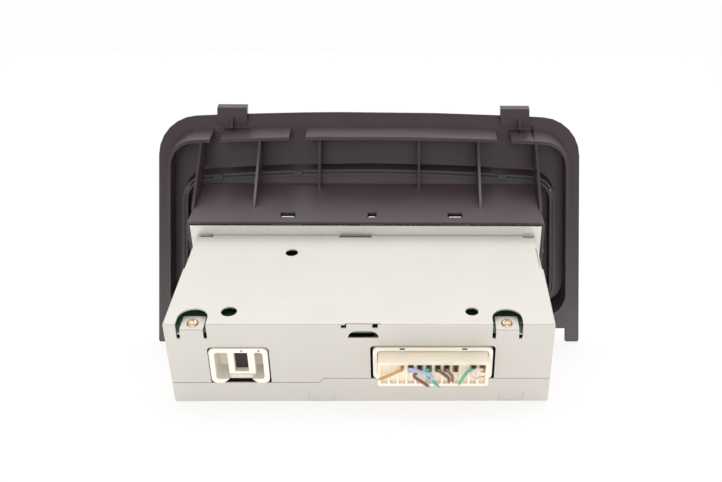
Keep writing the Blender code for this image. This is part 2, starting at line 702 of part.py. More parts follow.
boss_half_spread = opening_half - boss_side_inset
boss_drops = [opening_top + share * opening_height for share in boss_drop_shares]
panel_half = opening_half - panel_clear
skin_opening = arched(panel_half, opening_top + panel_clear, opening_bottom - panel_clear,
                      opening_arch_radius, opening_corner_radius - panel_clear)
skirt_inside = arched(panel_half - skirt_wall, opening_top + panel_clear + skirt_wall,
                      opening_bottom - panel_clear - skirt_wall, opening_arch_radius,
                      opening_corner_radius - panel_clear - skirt_wall)
front_panel = slab("front_panel", [skin_opening], panel_back, panel_front, face, panel_plastic,
                   edge=panel_edge)
fuse(front_panel, slab("skirt", [skin_opening, skirt_inside], -skirt_depth * slope_depth,
                       panel_back + skirt_lap, face, lean=face_tilt))
window = rounded_box(-display_width / 2, display_width / 2, -display_drop - display_height / 2,
                     -display_drop + display_height / 2, window_corner)
cut(front_panel, slab("window_cut", [window], -overrun, overrun, face))
button_places = []
for row, drop_length in (("preset", preset_drop), ("function", function_drop)):
    for index in range(button_count):
        x = (index - (button_count - 1) / 2) * button_pitch
        button_places.append((f"{row}_button_{index + 1}", x, -drop_length))
for name, x, y in button_places:
    hole = rounded_box(x - button_width / 2 - fit_gap, x + button_width / 2 + fit_gap,
                       y - button_height / 2 - fit_gap, y + button_height / 2 + fit_gap,
                       button_corner + fit_gap, 2)
    cut(front_panel, slab(name + "_hole", [hole], -overrun, overrun, face))
knob_places = (("volume", -knob_spread / 2), ("tuning", knob_spread / 2))
for name, x in knob_places:
    cut(front_panel, rod(name + "_panel_hole", bushing_hole, -overrun, overrun,
                         (x, -knob_drop, 0), face))
for side in (-1, 1):
    for index, boss_drop in enumerate(boss_drops):
        place = (side * boss_half_spread, -boss_drop, 0)
        fuse(front_panel, rod(f"boss_{side}_{index}", boss_radius, fit_gap - board_behind,
                              panel_back + skirt_lap, place, face, sides=12))
        if boss_drop == boss_drops[0]:
            cut(front_panel, rod(f"boss_bore_{side}", boss_bore, -2 * board_behind,
                                 -board_behind / 2, place, face, sides=12))
        else:
            fuse(front_panel, rod(f"peg_{side}", peg_radius,
                                  -board_behind - board_thick - peg_past_board,
                                  -board_behind / 2, place, face, sides=12))
snap_shift = skirt_depth * math.sin(face_tilt)
snap_low = -skirt_depth * slope_depth - snap_thick
for index, share in enumerate(snap_shares):
    x = share * panel_half
    snap_top = -opening_top - drop(x, opening_arch_radius) - snap_shift
    fuse(front_panel, block(f"snap_{index}", (-x - snap_half_width, snap_top - skirt_wall, snap_low),
                            (-x + snap_half_width, snap_top + snap_over,
                             snap_low + snap_thick + fit_gap / 2), face))

# Display: a smoked lens, the glass of the display and the holder that stands it on its board
lens_back = 0.2 * mm
lens_front = 2.4 * mm
lens_flange = 1.5 * mm
lens_flange_thick = 1 * mm
glass_thick = 2 * mm
holder_top_inset = 2.5 * mm
holder_low_inset = 0.8 * mm
holder_side_inset = 3 * mm

lens_outline = rounded_box(-display_width / 2 + fit_gap, display_width / 2 - fit_gap,
                           -display_drop - display_height / 2 + fit_gap,
                           -display_drop + display_height / 2 - fit_gap, window_corner - fit_gap)
display_lens = slab("display_lens", [lens_outline], -lens_back, lens_front, face, smoked_plastic,
                    edge=fit_gap)
fuse(display_lens, block("lens_rim", (-display_width / 2 - lens_flange,
                                      -display_drop - display_height / 2 - lens_flange,
                                      -lens_flange_thick),
                         (display_width / 2 + lens_flange,
                          -display_drop + display_height / 2 + lens_flange, 0), face))
glass_front = -lens_flange_thick - fit_gap
display_glass = block("display_glass", (-display_width / 2, -display_drop - display_height / 2,
                                        glass_front - glass_thick),
                      (display_width / 2, -display_drop + display_height / 2, glass_front), face,
                      glass)
display_holder = block("display_holder",
                       (-display_width / 2 + holder_side_inset,
                        -display_drop - display_height / 2 + holder_low_inset,
                        -board_behind + fit_gap),
                       (display_width / 2 - holder_side_inset,
                        -display_drop + display_height / 2 - holder_top_inset,
                        glass_front - glass_thick - fit_gap), face, cream_nylon)

# Key board: the printed board behind the panel, with its soldered push switches; two encoders
board_side_inset = 14.5 * mm
board_top_inset = 17.1 * mm
board_low_inset = 0.6 * mm
switch_half = 3 * mm
switch_height = 3.4 * mm
plunger_radius = 1.7 * mm
plunger_height = 0.8 * mm
encoder_half = 6.5 * mm
encoder_height = 6.5 * mm
shaft_radius = 3 * mm
shaft_clear = 0.3 * mm
shaft_in_encoder = 4 * mm
knob_bore_depth = 9 * mm
knob_skirt = 1.6 * mm
knob_skirt_height = 3 * mm
knob_round = 1.2 * mm

key_board_half = opening_half - board_side_inset
key_board_top = opening_top + board_top_inset
key_board_bottom = opening_bottom - board_low_inset
key_board = block("key_board", (-key_board_half, -key_board_bottom, -board_behind - board_thick),
                  (key_board_half, -key_board_top, -board_behind), face, green_board)
for side in (-1, 1):
    for index, boss_drop in enumerate(boss_drops):
        cut(key_board, rod(f"key_board_hole_{side}_{index}", screw_clearance, -3 * board_behind,
                           0, (side * boss_half_spread, -boss_drop, 0), face, sides=12))

switch_front = -board_behind + switch_height
for name, x, y in button_places:
    fuse(key_board,
         block(name + "_switch", (x - switch_half, y - switch_half, -board_behind - board_thick / 2),
               (x + switch_half, y + switch_half, switch_front), face),
         rod(name + "_plunger", plunger_radius, switch_front - plunger_height,
             switch_front + plunger_height, (x, y, 0), face, sides=8))

for name, x in knob_places:
    spot = (x, -knob_drop, 0)
    encoder_front = -board_behind + fit_gap + encoder_height
    encoder = block(name + "_encoder", (x - encoder_half, -knob_drop - encoder_half,
                                        -board_behind + fit_gap),
                    (x + encoder_half, -knob_drop + encoder_half, encoder_front), face, zinc)
    fuse(encoder, rod(name + "_bushing", bushing_radius, encoder_front - fit_gap,
                      panel_front - fit_gap, spot, face))
    cut(encoder, rod(name + "_shaft_bore", shaft_radius + shaft_clear,
                     encoder_front - shaft_in_encoder - fit_gap, 2 * panel_front, spot, face))
    turning = frame(name + "_axis", face, spot)
    knob_low = panel_front + fit_gap
    rod(name + "_shaft", shaft_radius, encoder_front - shaft_in_encoder,
        knob_low + knob_bore_depth - fit_gap, (0, 0, 0), turning, zinc)
    rise = knob_low + knob_height
    turned(name + "_knob",
           [(0, rise), (knob_radius - knob_skirt - knob_round, rise),
            (knob_radius - knob_skirt - knob_round / 3, rise - knob_round / 3),
            (knob_radius - knob_skirt, rise - knob_round),
            (knob_radius - knob_skirt, knob_low + knob_skirt_height),
            (knob_radius, knob_low + knob_skirt_height - knob_skirt / 2), (knob_radius, knob_low),
            (shaft_radius + fit_gap, knob_low), (shaft_radius + fit_gap, knob_low + knob_bore_depth),
            (0, knob_low + knob_bore_depth)],
           (0, 0, 0), turning, knob_plastic, steps=24)

# Push buttons: a cap through the panel, a flange behind it and a stem over its switch
button_proud = 1.8 * mm
flange_spill = 0.8 * mm
flange_thick = 1.2 * mm
stem_half = 1.6 * mm

for name, x, y in button_places:
    sliding = frame(name + "_axis", face, (x, y, 0))
    flange_front = panel_back - fit_gap
    cap = rounded_box(-button_width / 2, button_width / 2, -button_height / 2, button_height / 2,
                      button_corner, 2)
    button = slab(name, [cap], flange_front - flange_thick / 2, panel_front + button_proud, sliding,
                  button_plastic, edge=fit_gap)
    fuse(button,
         block(name + "_flange", (-button_width / 2 - flange_spill, -button_height / 2 - flange_spill,
                                  flange_front - flange_thick),
               (button_width / 2 + flange_spill, button_height / 2 + flange_spill, flange_front),
               sliding),
         block(name + "_stem", (-stem_half, -stem_half,
                                switch_front + plunger_height + button_travel + fit_gap),
               (stem_half, stem_half, flange_front - flange_thick / 2), sliding))

# Main board and the parts soldered to its underside
board_side_gap = 0.3 * mm
board_half = cheek_inner - board_side_gap
chip_top = board_low - fit_gap
tuner_low = 22 * mm
tuner_inset = 25 * mm
tuner_width = 40 * mm
tuner_shares = (0.351, 0.919)
sink_low = 10 * mm
sink_high = 36 * mm
sink_shares = (0.324, 0.838)
sink_base = 4 * mm
sink_fin = 1.6 * mm
sink_fins = 5
sink_reach = 16 * mm
amplifier_low = 18 * mm
amplifier_high = 34 * mm
amplifier_shares = (0.432, 0.730)
amplifier_thick = 4.5 * mm
large_can = (9 * mm, 30 * mm)
small_can = (6.5 * mm, 22 * mm)
can_places_shares = (0.517, 0.292)
can_shares = (0.405, 0.757, 0.432)
can_bead = 0.7 * mm
chip_half = 8 * mm
chip_shares = (0.324, 0.595)
chip_thick = 2.5 * mm

main_board = block("main_board", (-board_half, board_rear, board_low),
                   (board_half, board_front, board_top), unit, green_board)
for index, x in enumerate(tongue_places):
    cut(main_board, rod(f"board_screw_hole_{index}", screw_clearance, -overrun, overrun,
                        (x, tongue_screw_reach, board_low), unit, sides=12))

tuner_module = block("tuner_module",
                     (half_width - tuner_inset - tuner_width, tuner_shares[0] * board_front,
                      tuner_low),
                     (half_width - tuner_inset, tuner_shares[1] * board_front, chip_top), unit,
                     plated_steel)
tuner_fold = tuner_module.modifiers.new("fold", "BEVEL")
tuner_fold.width = fold_radius
tuner_fold.segments = 2

sink_rear = sink_shares[0] * board_front
fin_pitch = ((sink_shares[1] - sink_shares[0]) * board_front - sink_fin) / (sink_fins - 1)
sink_tips = fit_gap - cheek_inner
sink_back = cheek_flange + sink_reach - cheek_inner
comb = [(sink_back, sink_rear)]
for index in range(sink_fins):
    fin_y = sink_rear + fin_pitch * index
    comb += [(sink_tips, fin_y), (sink_tips, fin_y + sink_fin)]
    if index < sink_fins - 1:
        comb += [(sink_back - sink_base, fin_y + sink_fin), (sink_back - sink_base, fin_y + fin_pitch)]
comb.append((sink_back, comb[-1][1]))
heat_sink = slab("heat_sink", [comb], sink_low, sink_high, unit, bare_aluminium)
amplifier_near = sink_back + fit_gap
amplifier_rear = amplifier_shares[0] * board_front
amplifier_front = amplifier_shares[1] * board_front
amplifier_chip = block("amplifier_chip", (amplifier_near, amplifier_rear, amplifier_low),
                       (amplifier_near + amplifier_thick, amplifier_front, amplifier_high), unit,
                       black_epoxy)
pin_pitch_count = 9
pin_half = 0.4 * mm
for index in range(pin_pitch_count):
    pin_y = amplifier_rear + (amplifier_front - amplifier_rear) * (index + 1) / (pin_pitch_count + 1)
    fuse(amplifier_chip, block(f"pin_{index}", (amplifier_near + amplifier_thick / 2 - pin_half,
                                                pin_y - pin_half, amplifier_high - pin_half),
                               (amplifier_near + amplifier_thick / 2 + pin_half, pin_y + pin_half,
                                chip_top), unit))

cans = ((can_places_shares[0], *large_can), (can_places_shares[0], *small_can),
        (can_places_shares[1], *small_can))
for index, ((place_share, radius, height), share) in enumerate(zip(cans, can_shares)):
    turned(f"filter_capacitor_{index + 1}",
           [(0, chip_top), (radius - can_bead, chip_top), (radius, chip_top - can_bead),
            (radius, chip_top - 3 * can_bead), (radius - can_bead, chip_top - 4 * can_bead),
            (radius, chip_top - 5 * can_bead), (radius, chip_top - height + can_bead),
            (radius - can_bead, chip_top - height), (0, chip_top - height)],
           (-place_share * half_width, share * board_front, 0), unit, blue_sleeve, steps=12)
processor_chip = block("processor_chip",
                       (-chip_half, chip_shares[0] * board_front, chip_top - chip_thick),
                       (chip_half, chip_shares[1] * board_front, chip_top), unit, black_epoxy)

# Main socket: the wide white header in the rear wall, with its row of pins
socket_proud = 0.8 * mm
socket_depth = 13 * mm
socket_wall = 2 * mm
socket_floor = 3 * mm
socket_corner = 2.5 * mm
socket_foot_depth = 5 * mm
pin_radius = 0.6 * mm
pin_reach = 8 * mm
main_pin_count = 11
main_pin_rises = (5.5 * mm, 13.1 * mm)
main_pin_rows = [main_socket_low + rise for rise in main_pin_rises]

socket_outline = rounded_box(main_socket_span[0], main_socket_span[1], main_socket_low,
                             main_socket_high, socket_corner)
socket_mouth = rounded_box(main_socket_span[0] + socket_wall, main_socket_span[1] - socket_wall,
                           main_socket_low + socket_wall, main_socket_high - socket_wall,
                           socket_corner - socket_wall / 2)
main_socket = slab("main_socket", [socket_outline], -socket_depth, socket_proud, unit, white_nylon,
                   turn=along_y)
cut(main_socket, slab("main_socket_mouth", [socket_mouth], socket_floor - socket_depth, overrun,
                      unit, turn=along_y))
fuse(main_socket, block("main_socket_foot",
                        (main_socket_span[0] + socket_wall, socket_depth - socket_foot_depth,
                         main_socket_high - socket_wall),
                        (main_socket_span[1] - socket_wall, socket_depth, chip_top), unit))
pin_bed = socket_depth - socket_floor
main_pin_first = main_socket_span[0] + 3 * socket_wall
main_pin_pitch = (main_socket_span[1] - main_socket_span[0] - 6 * socket_wall) / (main_pin_count - 1)


def pins(socket, tag, places, reach):
    """Contact pins moulded into a socket's floor, pointing out of its mouth."""
    for index, (x, z) in enumerate(places):
        fuse(socket, rod(f"{tag}_pin_{index}", pin_radius, -socket_floor / 2, reach,
                         (x, pin_bed, z), unit, turn=along_y, sides=6))


pins(main_socket, "main", [(main_pin_first + main_pin_pitch * index, z)
                           for index in range(main_pin_count) for z in main_pin_rows], pin_reach)

# Small socket: the second white header, with a coding notch in its lower rim
small_wall = 2.3 * mm
notch_low_inset = 5.6 * mm
notch_high_inset = 9.1 * mm
notch_rise = 3.2 * mm
notch_back = 2.6 * mm
throat_inset = 10.5 * mm
throat_rear = 4.6 * mm
small_pin_drop = 4.4 * mm
small_pin_count = 5

small_outline = rounded_box(small_socket_span[0], small_socket_span[1], small_socket_low,
                            small_socket_high, socket_corner)
small_mouth = rounded_box(small_socket_span[0] + small_wall, small_socket_span[1] - small_wall,
                          small_socket_low + small_wall, small_socket_high - small_wall,
                          socket_corner - small_wall / 2)
small_socket = slab("small_socket", [small_outline], -socket_depth, socket_proud, unit,
                    white_nylon, turn=along_y)
notch_top = small_socket_low + notch_rise
notch = [(small_socket_span[0] + notch_low_inset, small_socket_low - overrun),
         (small_socket_span[1] - notch_low_inset, small_socket_low - overrun),
         (small_socket_span[1] - notch_low_inset, small_socket_low),
         (small_socket_span[1] - notch_high_inset, notch_top),
         (small_socket_span[0] + notch_high_inset, notch_top),
         (small_socket_span[0] + notch_low_inset, small_socket_low)]
cut(small_socket,
    slab("small_socket_mouth", [small_mouth], socket_floor - socket_depth, overrun, unit,
         turn=along_y),
    slab("coding_notch", [notch], -notch_back, overrun, unit, turn=along_y),
    block("throat", (small_socket_span[0] + throat_inset, throat_rear, small_socket_low - overrun),
          (small_socket_span[1] - throat_inset, pin_bed, small_socket_low + 2 * small_wall), unit))
fuse(small_socket, block("small_socket_foot",
                         (small_socket_span[0] + small_wall, socket_depth - socket_foot_depth,
                          small_socket_high - small_wall / 2),
                         (small_socket_span[1] - small_wall, socket_depth, chip_top), unit))
small_pin_pitch = ((small_socket_span[1] - small_socket_span[0] - 4 * small_wall)
                   / (small_pin_count - 1))
pins(small_socket, "small", [(small_socket_span[0] + 2 * small_wall + small_pin_pitch * index,
                             small_socket_high - small_pin_drop) for index in range(small_pin_count)], pin_reach / 2)

# Harness plug: the cream connector left in the main socket, with a pocket over the pins
plug_clear = 0.4 * mm
plug_tail = 8.5 * mm
plug_nose_gap = 1.5 * mm
plug_wall = 1.4 * mm
plug_pocket_back = 1 * mm
plug_corner = 0.8 * mm
cell_count = 12
cell_wall = 1 * mm
cell_depth = 4 * mm
wire_radius = 0.6 * mm

plug_low_x = main_socket_span[0] + socket_wall + plug_clear
plug_high_x = main_socket_span[1] - socket_wall - plug_clear
plug_low_z = main_socket_low + socket_wall + plug_clear
plug_high_z = main_socket_high - socket_wall - plug_clear
plug_outline = rounded_box(plug_low_x, plug_high_x, plug_low_z, plug_high_z, plug_corner, 2)
harness_plug = slab("harness_plug", [plug_outline], plug_nose_gap - pin_bed, plug_tail, unit, cream_nylon,
                    turn=along_y)
cut(harness_plug, block("plug_pocket", (plug_low_x + plug_wall, plug_pocket_back,
                                        plug_low_z + plug_wall),
                        (plug_high_x - plug_wall, socket_depth, plug_high_z - plug_wall), unit))
cell_pitch = (plug_high_x - plug_low_x - 2 * plug_wall + cell_wall) / cell_count
cell_width = cell_pitch - cell_wall
for index in range(cell_count):
    cell_low = plug_low_x + plug_wall + cell_pitch * index
    cut(harness_plug, block(f"cell_{index}", (cell_low, -plug_tail - overrun,
                                              plug_low_z + plug_wall),
                            (cell_low + cell_width, -plug_tail + cell_depth,
                             plug_high_z - plug_wall), unit))

# Harness wires: cut-off stubs that leave the plug's cells and lie down across its tail.
# Each route is the cell that it leaves and its points: x counted in cells along the plug from
# its side wall, and y and z in millimetres
wire_routes = (
    (3, ((2.28, -11.0, 28.1), (1.18, -11.4, 25.8), (0.27, -11.2, 23.8))),
    (4, ((3.61, -12.6, 30.6), (4.83, -13.6, 29.7), (5.94, -13.8, 27.8), (5.94, -13.6, 24.7))),
    (5, ((4.07, -10.8, 25.3), (4.86, -10.9, 22.1), (5.64, -11.0, 19.5))),
    (6, ((5.40, -11.2, 28.5), (5.67, -11.3, 24.8), (6.70, -12.8, 21.3))),
    (7, ((6.94, -10.8, 27.9), (7.85, -11.0, 24.5), (8.00, -11.0, 21.9))),
    (8, ((7.80, -12.6, 29.7), (8.27, -13.0, 27.1), (8.34, -13.0, 24.2))),
    (11, ((10.16, -11.0, 28.6), (9.64, -11.4, 25.5), (9.18, -11.4, 21.3))),
    (12, ((11.02, -12.8, 30.5), (10.36, -13.4, 28.3), (10.82, -13.4, 25.7), (11.61, -13.2, 26.7))),
)
wire_root_height = 27.4 * mm
wire_lead = 0.4 * mm
route_steps = 2


def smooth_route(points):
    """A smooth curve through the points, with a few steps between each two."""
    points = [Vector(point) for point in points]
    path = [2 * points[0] - points[1], *points, 2 * points[-1] - points[-2]]
    curve = []
    for before, start, end, after in zip(path, path[1:], path[2:], path[3:]):
        for step in range(route_steps):
            t = step / route_steps
            curve.append(0.5 * (2 * start + (end - before) * t
                                + (2 * before - 5 * start + 4 * end - after) * t * t
                                + (3 * start - before - 3 * end + after) * t * t * t))
    return curve + [points[-1]]


def tube(name, path, radius, parent, look):
    """A round wire along a path, capped at both ends."""
    curve = bpy.data.curves.new(name, "CURVE")
    curve.dimensions = "3D"
    curve.bevel_depth = radius
    curve.bevel_resolution = 1
    curve.use_fill_caps = True
    spline = curve.splines.new("POLY")
    spline.points.add(len(path) - 1)
    for point, place in zip(spline.points, path):
        point.co = (*place, 1)
    line = bpy.data.objects.new(name, curve)
    bpy.context.scene.collection.objects.link(line)
    graph = bpy.context.evaluated_depsgraph_get()
    graph.update()
    mesh = bpy.data.meshes.new_from_object(line.evaluated_get(graph))
    bpy.data.objects.remove(line)
    shape = bmesh.new()
    shape.from_mesh(mesh)
    bmesh.ops.remove_doubles(shape, verts=shape.verts, dist=weld_distance)
    return keep(name, shape, parent, look)


for number, (cell, route) in enumerate(wire_routes, 1):
    cell_x = plug_low_x + plug_wall + cell_pitch * (cell - 1) + cell_width / 2
    roots = [(cell_x, cell_depth - plug_tail - fit_gap, wire_root_height),
             (cell_x, -plug_tail - wire_lead, wire_root_height)]
    lying = [(plug_low_x + cells * cell_pitch, y * mm, z * mm) for cells, y, z in route]
    tube(f"harness_wire_{number}", smooth_route(roots + lying), wire_radius, unit, wire_jacket)

# Ribbon cable: the flat lead from the main board to the key board, with a socket on each
ribbon_half_width = 9 * mm
ribbon_place_share = 0.746
ribbon_thick = 0.35 * mm
ribbon_socket_depth = 5 * mm
ribbon_socket_height = 6 * mm
ribbon_socket_inset = 9 * mm
ribbon_drop_share = 0.514
ribbon_socket_grip = 4.5 * mm
ribbon_hump = 5.4 * mm
ribbon_socket_spill = 1.5 * mm
ribbon_bend_shares = (1.1, 2.4, 0.5)

ribbon_middle = -ribbon_place_share * key_board_half
ribbon_span = (ribbon_middle - ribbon_half_width, ribbon_middle + ribbon_half_width)
ribbon_socket_rear = board_front - ribbon_socket_inset
ribbon_drop = opening_top + ribbon_drop_share * opening_height
ribbon_low = chip_top - ribbon_socket_grip
board_ribbon_socket = block("board_ribbon_socket",
                            (ribbon_span[0] - ribbon_socket_spill, ribbon_socket_rear,
                             chip_top - ribbon_socket_height),
                            (ribbon_span[1] + ribbon_socket_spill,
                             ribbon_socket_rear + ribbon_socket_depth, chip_top), unit, cream_nylon)
key_back = board_behind + board_thick + fit_gap
key_ribbon_socket = block("key_ribbon_socket",
                          (-ribbon_span[1] - ribbon_socket_spill,
                           -ribbon_drop - ribbon_socket_height / 2, -key_back - ribbon_socket_depth),
                          (-ribbon_span[0] + ribbon_socket_spill,
                           -ribbon_drop + ribbon_socket_height / 2, -key_back), face, cream_nylon)
landing_back = key_back + ribbon_socket_depth + fit_gap
landing = (down_face(ribbon_drop)[0] - landing_back * math.cos(face_tilt),
           down_face(ribbon_drop)[1] + landing_back * math.sin(face_tilt))
approach = ribbon_hump * ribbon_bend_shares[0]
start_y = ribbon_socket_rear + ribbon_socket_depth + fit_gap
centre_line = smooth_route([
    (0, start_y, ribbon_low), (0, start_y + ribbon_hump, ribbon_low),
    (0, start_y + ribbon_bend_shares[1] * ribbon_hump,
     ribbon_low + ribbon_bend_shares[2] * ribbon_hump),
    (0, landing[0] - approach * math.cos(face_tilt), landing[1] + approach * math.sin(face_tilt)),
    (0, *landing)])
upper_side = []
lower_side = []
for before, here, after in zip([centre_line[0], *centre_line], centre_line,
                               [*centre_line[1:], centre_line[-1]]):
    along = (after - before).normalized()
    normal = Vector((-along.z, along.y)) * ribbon_thick / 2
    upper_side.append((here.y + normal.x, here.z + normal.y))
    lower_side.append((here.y - normal.x, here.z - normal.y))
ribbon_cable = slab("ribbon_cable", [upper_side + lower_side[::-1]], ribbon_span[0],
                    ribbon_span[1], unit, ribbon_film, turn=along_x)

# Screws: brass in the cover's tongues, zinc through the hood and behind the key board
seat_gap = 0.1 * mm
cover_screw_head = (2.6 * mm, 1.5 * mm, 5 * mm)
hood_screw_head = (2.7 * mm, 1.6 * mm, 4 * mm)
board_screw_head = (2.3 * mm, 1.4 * mm, 5 * mm)
board_screw_share = 0.8


def screw(name, size, shank_radius, place, parent, look, turn=(0, 0, 0)):
    """A pan-head screw whose head, of (radius, height, reach), sits just above its place."""
    head_radius, head_height, reach = size
    turned(name, [(0, seat_gap + head_height), (head_radius / 2, seat_gap + head_height),
                  (head_radius, seat_gap + head_height / 2), (head_radius, seat_gap),
                  (shank_radius, seat_gap), (shank_radius, -reach), (0, -reach)],
           place, parent, look, turn, steps=12)


for index, x in enumerate(tongue_places):
    screw(f"cover_screw_{index + 1}", cover_screw_head, screw_shank,
          (x, tongue_screw_reach, case_height - tongue_sink), unit, brass)
for side, tag in ((-1, "left"), (1, "right")):
    for index, z in enumerate(hood_screw_heights):
        screw(f"{tag}_hood_screw_{index + 1}", hood_screw_head, screw_shank,
              (side * hood_half, hood_screw_forward, z), unit, zinc, (0, side * math.pi / 2, 0))
    screw(f"{tag}_board_screw", board_screw_head, board_screw_share * boss_bore,
          (-side * boss_half_spread, -boss_drops[0], -board_behind - board_thick), face, zinc,
          (math.pi, 0, 0))

# The origin goes under the middle of the whole unit
bpy.context.view_layer.update()
graph = bpy.context.evaluated_depsgraph_get()
corners = []
for piece in unit_parts.objects:
    if piece.type == "MESH":
        solid = piece.evaluated_get(graph)
        corners += [solid.matrix_world @ vert.co for vert in solid.data.vertices]
lowest = [min(corner[axis] for corner in corners) for axis in range(3)]
highest = [max(corner[axis] for corner in corners) for axis in range(3)]
unit.location = (-(lowest[0] + highest[0]) / 2, -(lowest[1] + highest[1]) / 2, -lowest[2])
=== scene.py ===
"""Looks of a car head unit: a folded steel radio case behind a wide sloping plastic fascia."""

import bpy
import bmesh
import json
import math
from mathutils import Matrix, Vector


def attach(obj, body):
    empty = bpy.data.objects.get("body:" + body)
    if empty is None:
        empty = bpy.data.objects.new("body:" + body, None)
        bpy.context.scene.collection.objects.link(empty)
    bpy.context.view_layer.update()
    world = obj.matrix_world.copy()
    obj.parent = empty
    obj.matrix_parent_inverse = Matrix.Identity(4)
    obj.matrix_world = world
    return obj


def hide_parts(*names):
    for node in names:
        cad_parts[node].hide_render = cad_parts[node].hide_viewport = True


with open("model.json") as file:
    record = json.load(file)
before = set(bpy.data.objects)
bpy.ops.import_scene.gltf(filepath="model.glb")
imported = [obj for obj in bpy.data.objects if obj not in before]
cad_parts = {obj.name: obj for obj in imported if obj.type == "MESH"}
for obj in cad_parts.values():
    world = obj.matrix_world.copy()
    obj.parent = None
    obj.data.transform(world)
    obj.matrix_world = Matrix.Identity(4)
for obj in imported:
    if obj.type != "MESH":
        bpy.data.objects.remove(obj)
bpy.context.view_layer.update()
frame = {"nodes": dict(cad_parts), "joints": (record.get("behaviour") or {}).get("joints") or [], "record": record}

# The unit as it stands: it leans back on the rear edge of its case and on two plastic feet.
# case is the steel case's own frame, X across, Y from the sockets to the dial end, Z up;
# face is the fascia's, with its origin at the top middle, Y up the slope and Z out of it.
mm = 0.001
mount_spot = Vector((20 * mm, 38 * mm, 0))
knob_drop = 68 * mm
mount = frame["record"]["mounts"][0]
turns = {joint["name"]: joint for joint in frame["joints"]}
carrier = {node: body for body, nodes in frame["record"]["behaviour"]["bodies"].items()
           for node in nodes}
slots = {row["node"]: row["material_slot"] for row in frame["record"]["subparts"]}


def axes(across, up, origin):
    """A frame from its X axis, its Z axis and its origin."""
    across, up = Vector(across).normalized(), Vector(up).normalized()
    turn = Matrix((across, up.cross(across), up)).transposed().to_4x4()
    return Matrix.Translation(origin) @ turn


case = axes((1, 0, 0), -Vector(mount["axis"]), mount["pos_m"])
case = case @ Matrix.Translation(-mount_spot)
face = axes((-1, 0, 0), turns["volume_turn"]["axis"],
            (Vector(turns["volume_turn"]["pos_m"]) + Vector(turns["tuning_turn"]["pos_m"])) / 2)
face = face @ Matrix.Translation((0, knob_drop, 0))

# The photograph's view: the camera stands behind the unit, looks over the case at the
# back of the fascia, and is given in the case's frame.
photo_width, photo_height = 722, 482
focal_pixels = 912.304
picture_centre = (428.524, 227.942)
camera_place = (22.083 * mm, -329.407 * mm, 298.846 * mm)
camera_degrees = (1.4412, 31.4247, 0.9058)
camera_yaw, camera_pitch, camera_roll = (math.radians(angle) for angle in camera_degrees)

ahead = Vector((math.sin(camera_yaw), math.cos(camera_yaw), 0))
level = Vector((math.cos(camera_yaw), -math.sin(camera_yaw), 0))
forward = ahead * math.cos(camera_pitch) - Vector((0, 0, math.sin(camera_pitch)))
upward = ahead * math.sin(camera_pitch) + Vector((0, 0, math.cos(camera_pitch)))
right = level * math.cos(camera_roll) + upward * math.sin(camera_roll)
top = upward * math.cos(camera_roll) - level * math.sin(camera_roll)
lens = bpy.data.cameras.new("view")
lens.lens = focal_pixels / photo_width * lens.sensor_width
lens.shift_x = (photo_width / 2 - picture_centre[0]) / photo_width
lens.shift_y = (picture_centre[1] - photo_height / 2) / photo_width
lens.clip_start, lens.clip_end = 0.01, 50
camera = bpy.data.objects.new("view", lens)
bpy.context.scene.collection.objects.link(camera)
aim = Matrix((right, top, -forward)).transposed().to_4x4()
camera.matrix_world = case @ Matrix.Translation(camera_place) @ aim
bpy.context.scene.camera = camera
bpy.context.scene.view_settings.view_transform = "Standard"


# The surroundings: a white sweep under soft studio light. The sky is brightest behind the
# unit and dim on the wiring side, where a low softbox fills in. The camera sees sky and
# table as white, and the table keeps a faint shadow of the unit.
white = (0.985, 0.985, 0.982)
paper_colour, paper_roughness = (0.93, 0.905, 0.875), 0.9
high_light, low_light = 1.35, 0.40
lit_from = Vector((0, 0.72, 0.70)).normalized()
low_edge, high_edge = -0.35, 0.85
floor_half = 6.0
floor_glow, glow_strength = 0.8, 1.03
table_glow, table_strength = 0.5, 1.5
# Each softbox: where it stands, its width and height and its power, in metres and watts.
softboxes = {"overhead": ((0, 0.15, 1.3), (1.5, 1.2), 6.0),
             "low_fill": ((0, -1.5, 0.05), (1.5, 0.2), 7.0)}

world = bpy.data.worlds.new("sweep")
bpy.context.scene.world = world
world.use_nodes = True
nodes, links = world.node_tree.nodes, world.node_tree.links
seen = nodes.new("ShaderNodeLightPath")
spot = nodes.new("ShaderNodeTexCoord")
facing = nodes.new("ShaderNodeVectorMath")
facing.operation = "DOT_PRODUCT"
facing.inputs[1].default_value = lit_from
lit = nodes.new("ShaderNodeMapRange")
lit.interpolation_type = "SMOOTHSTEP"
for socket, value in zip(lit.inputs[1:], (low_edge, high_edge, low_light, high_light)):
    socket.default_value = value
shown = nodes.new("ShaderNodeMix")
shown.inputs["B"].default_value = 1
links.new(spot.outputs["Generated"], facing.inputs[0])
links.new(facing.outputs["Value"], lit.inputs["Value"])
links.new(seen.outputs["Is Camera Ray"], shown.inputs["Factor"])
links.new(lit.outputs[0], shown.inputs["A"])
nodes["Background"].inputs["Color"].default_value = (*white, 1)
links.new(shown.outputs[0], nodes["Background"].inputs["Strength"])

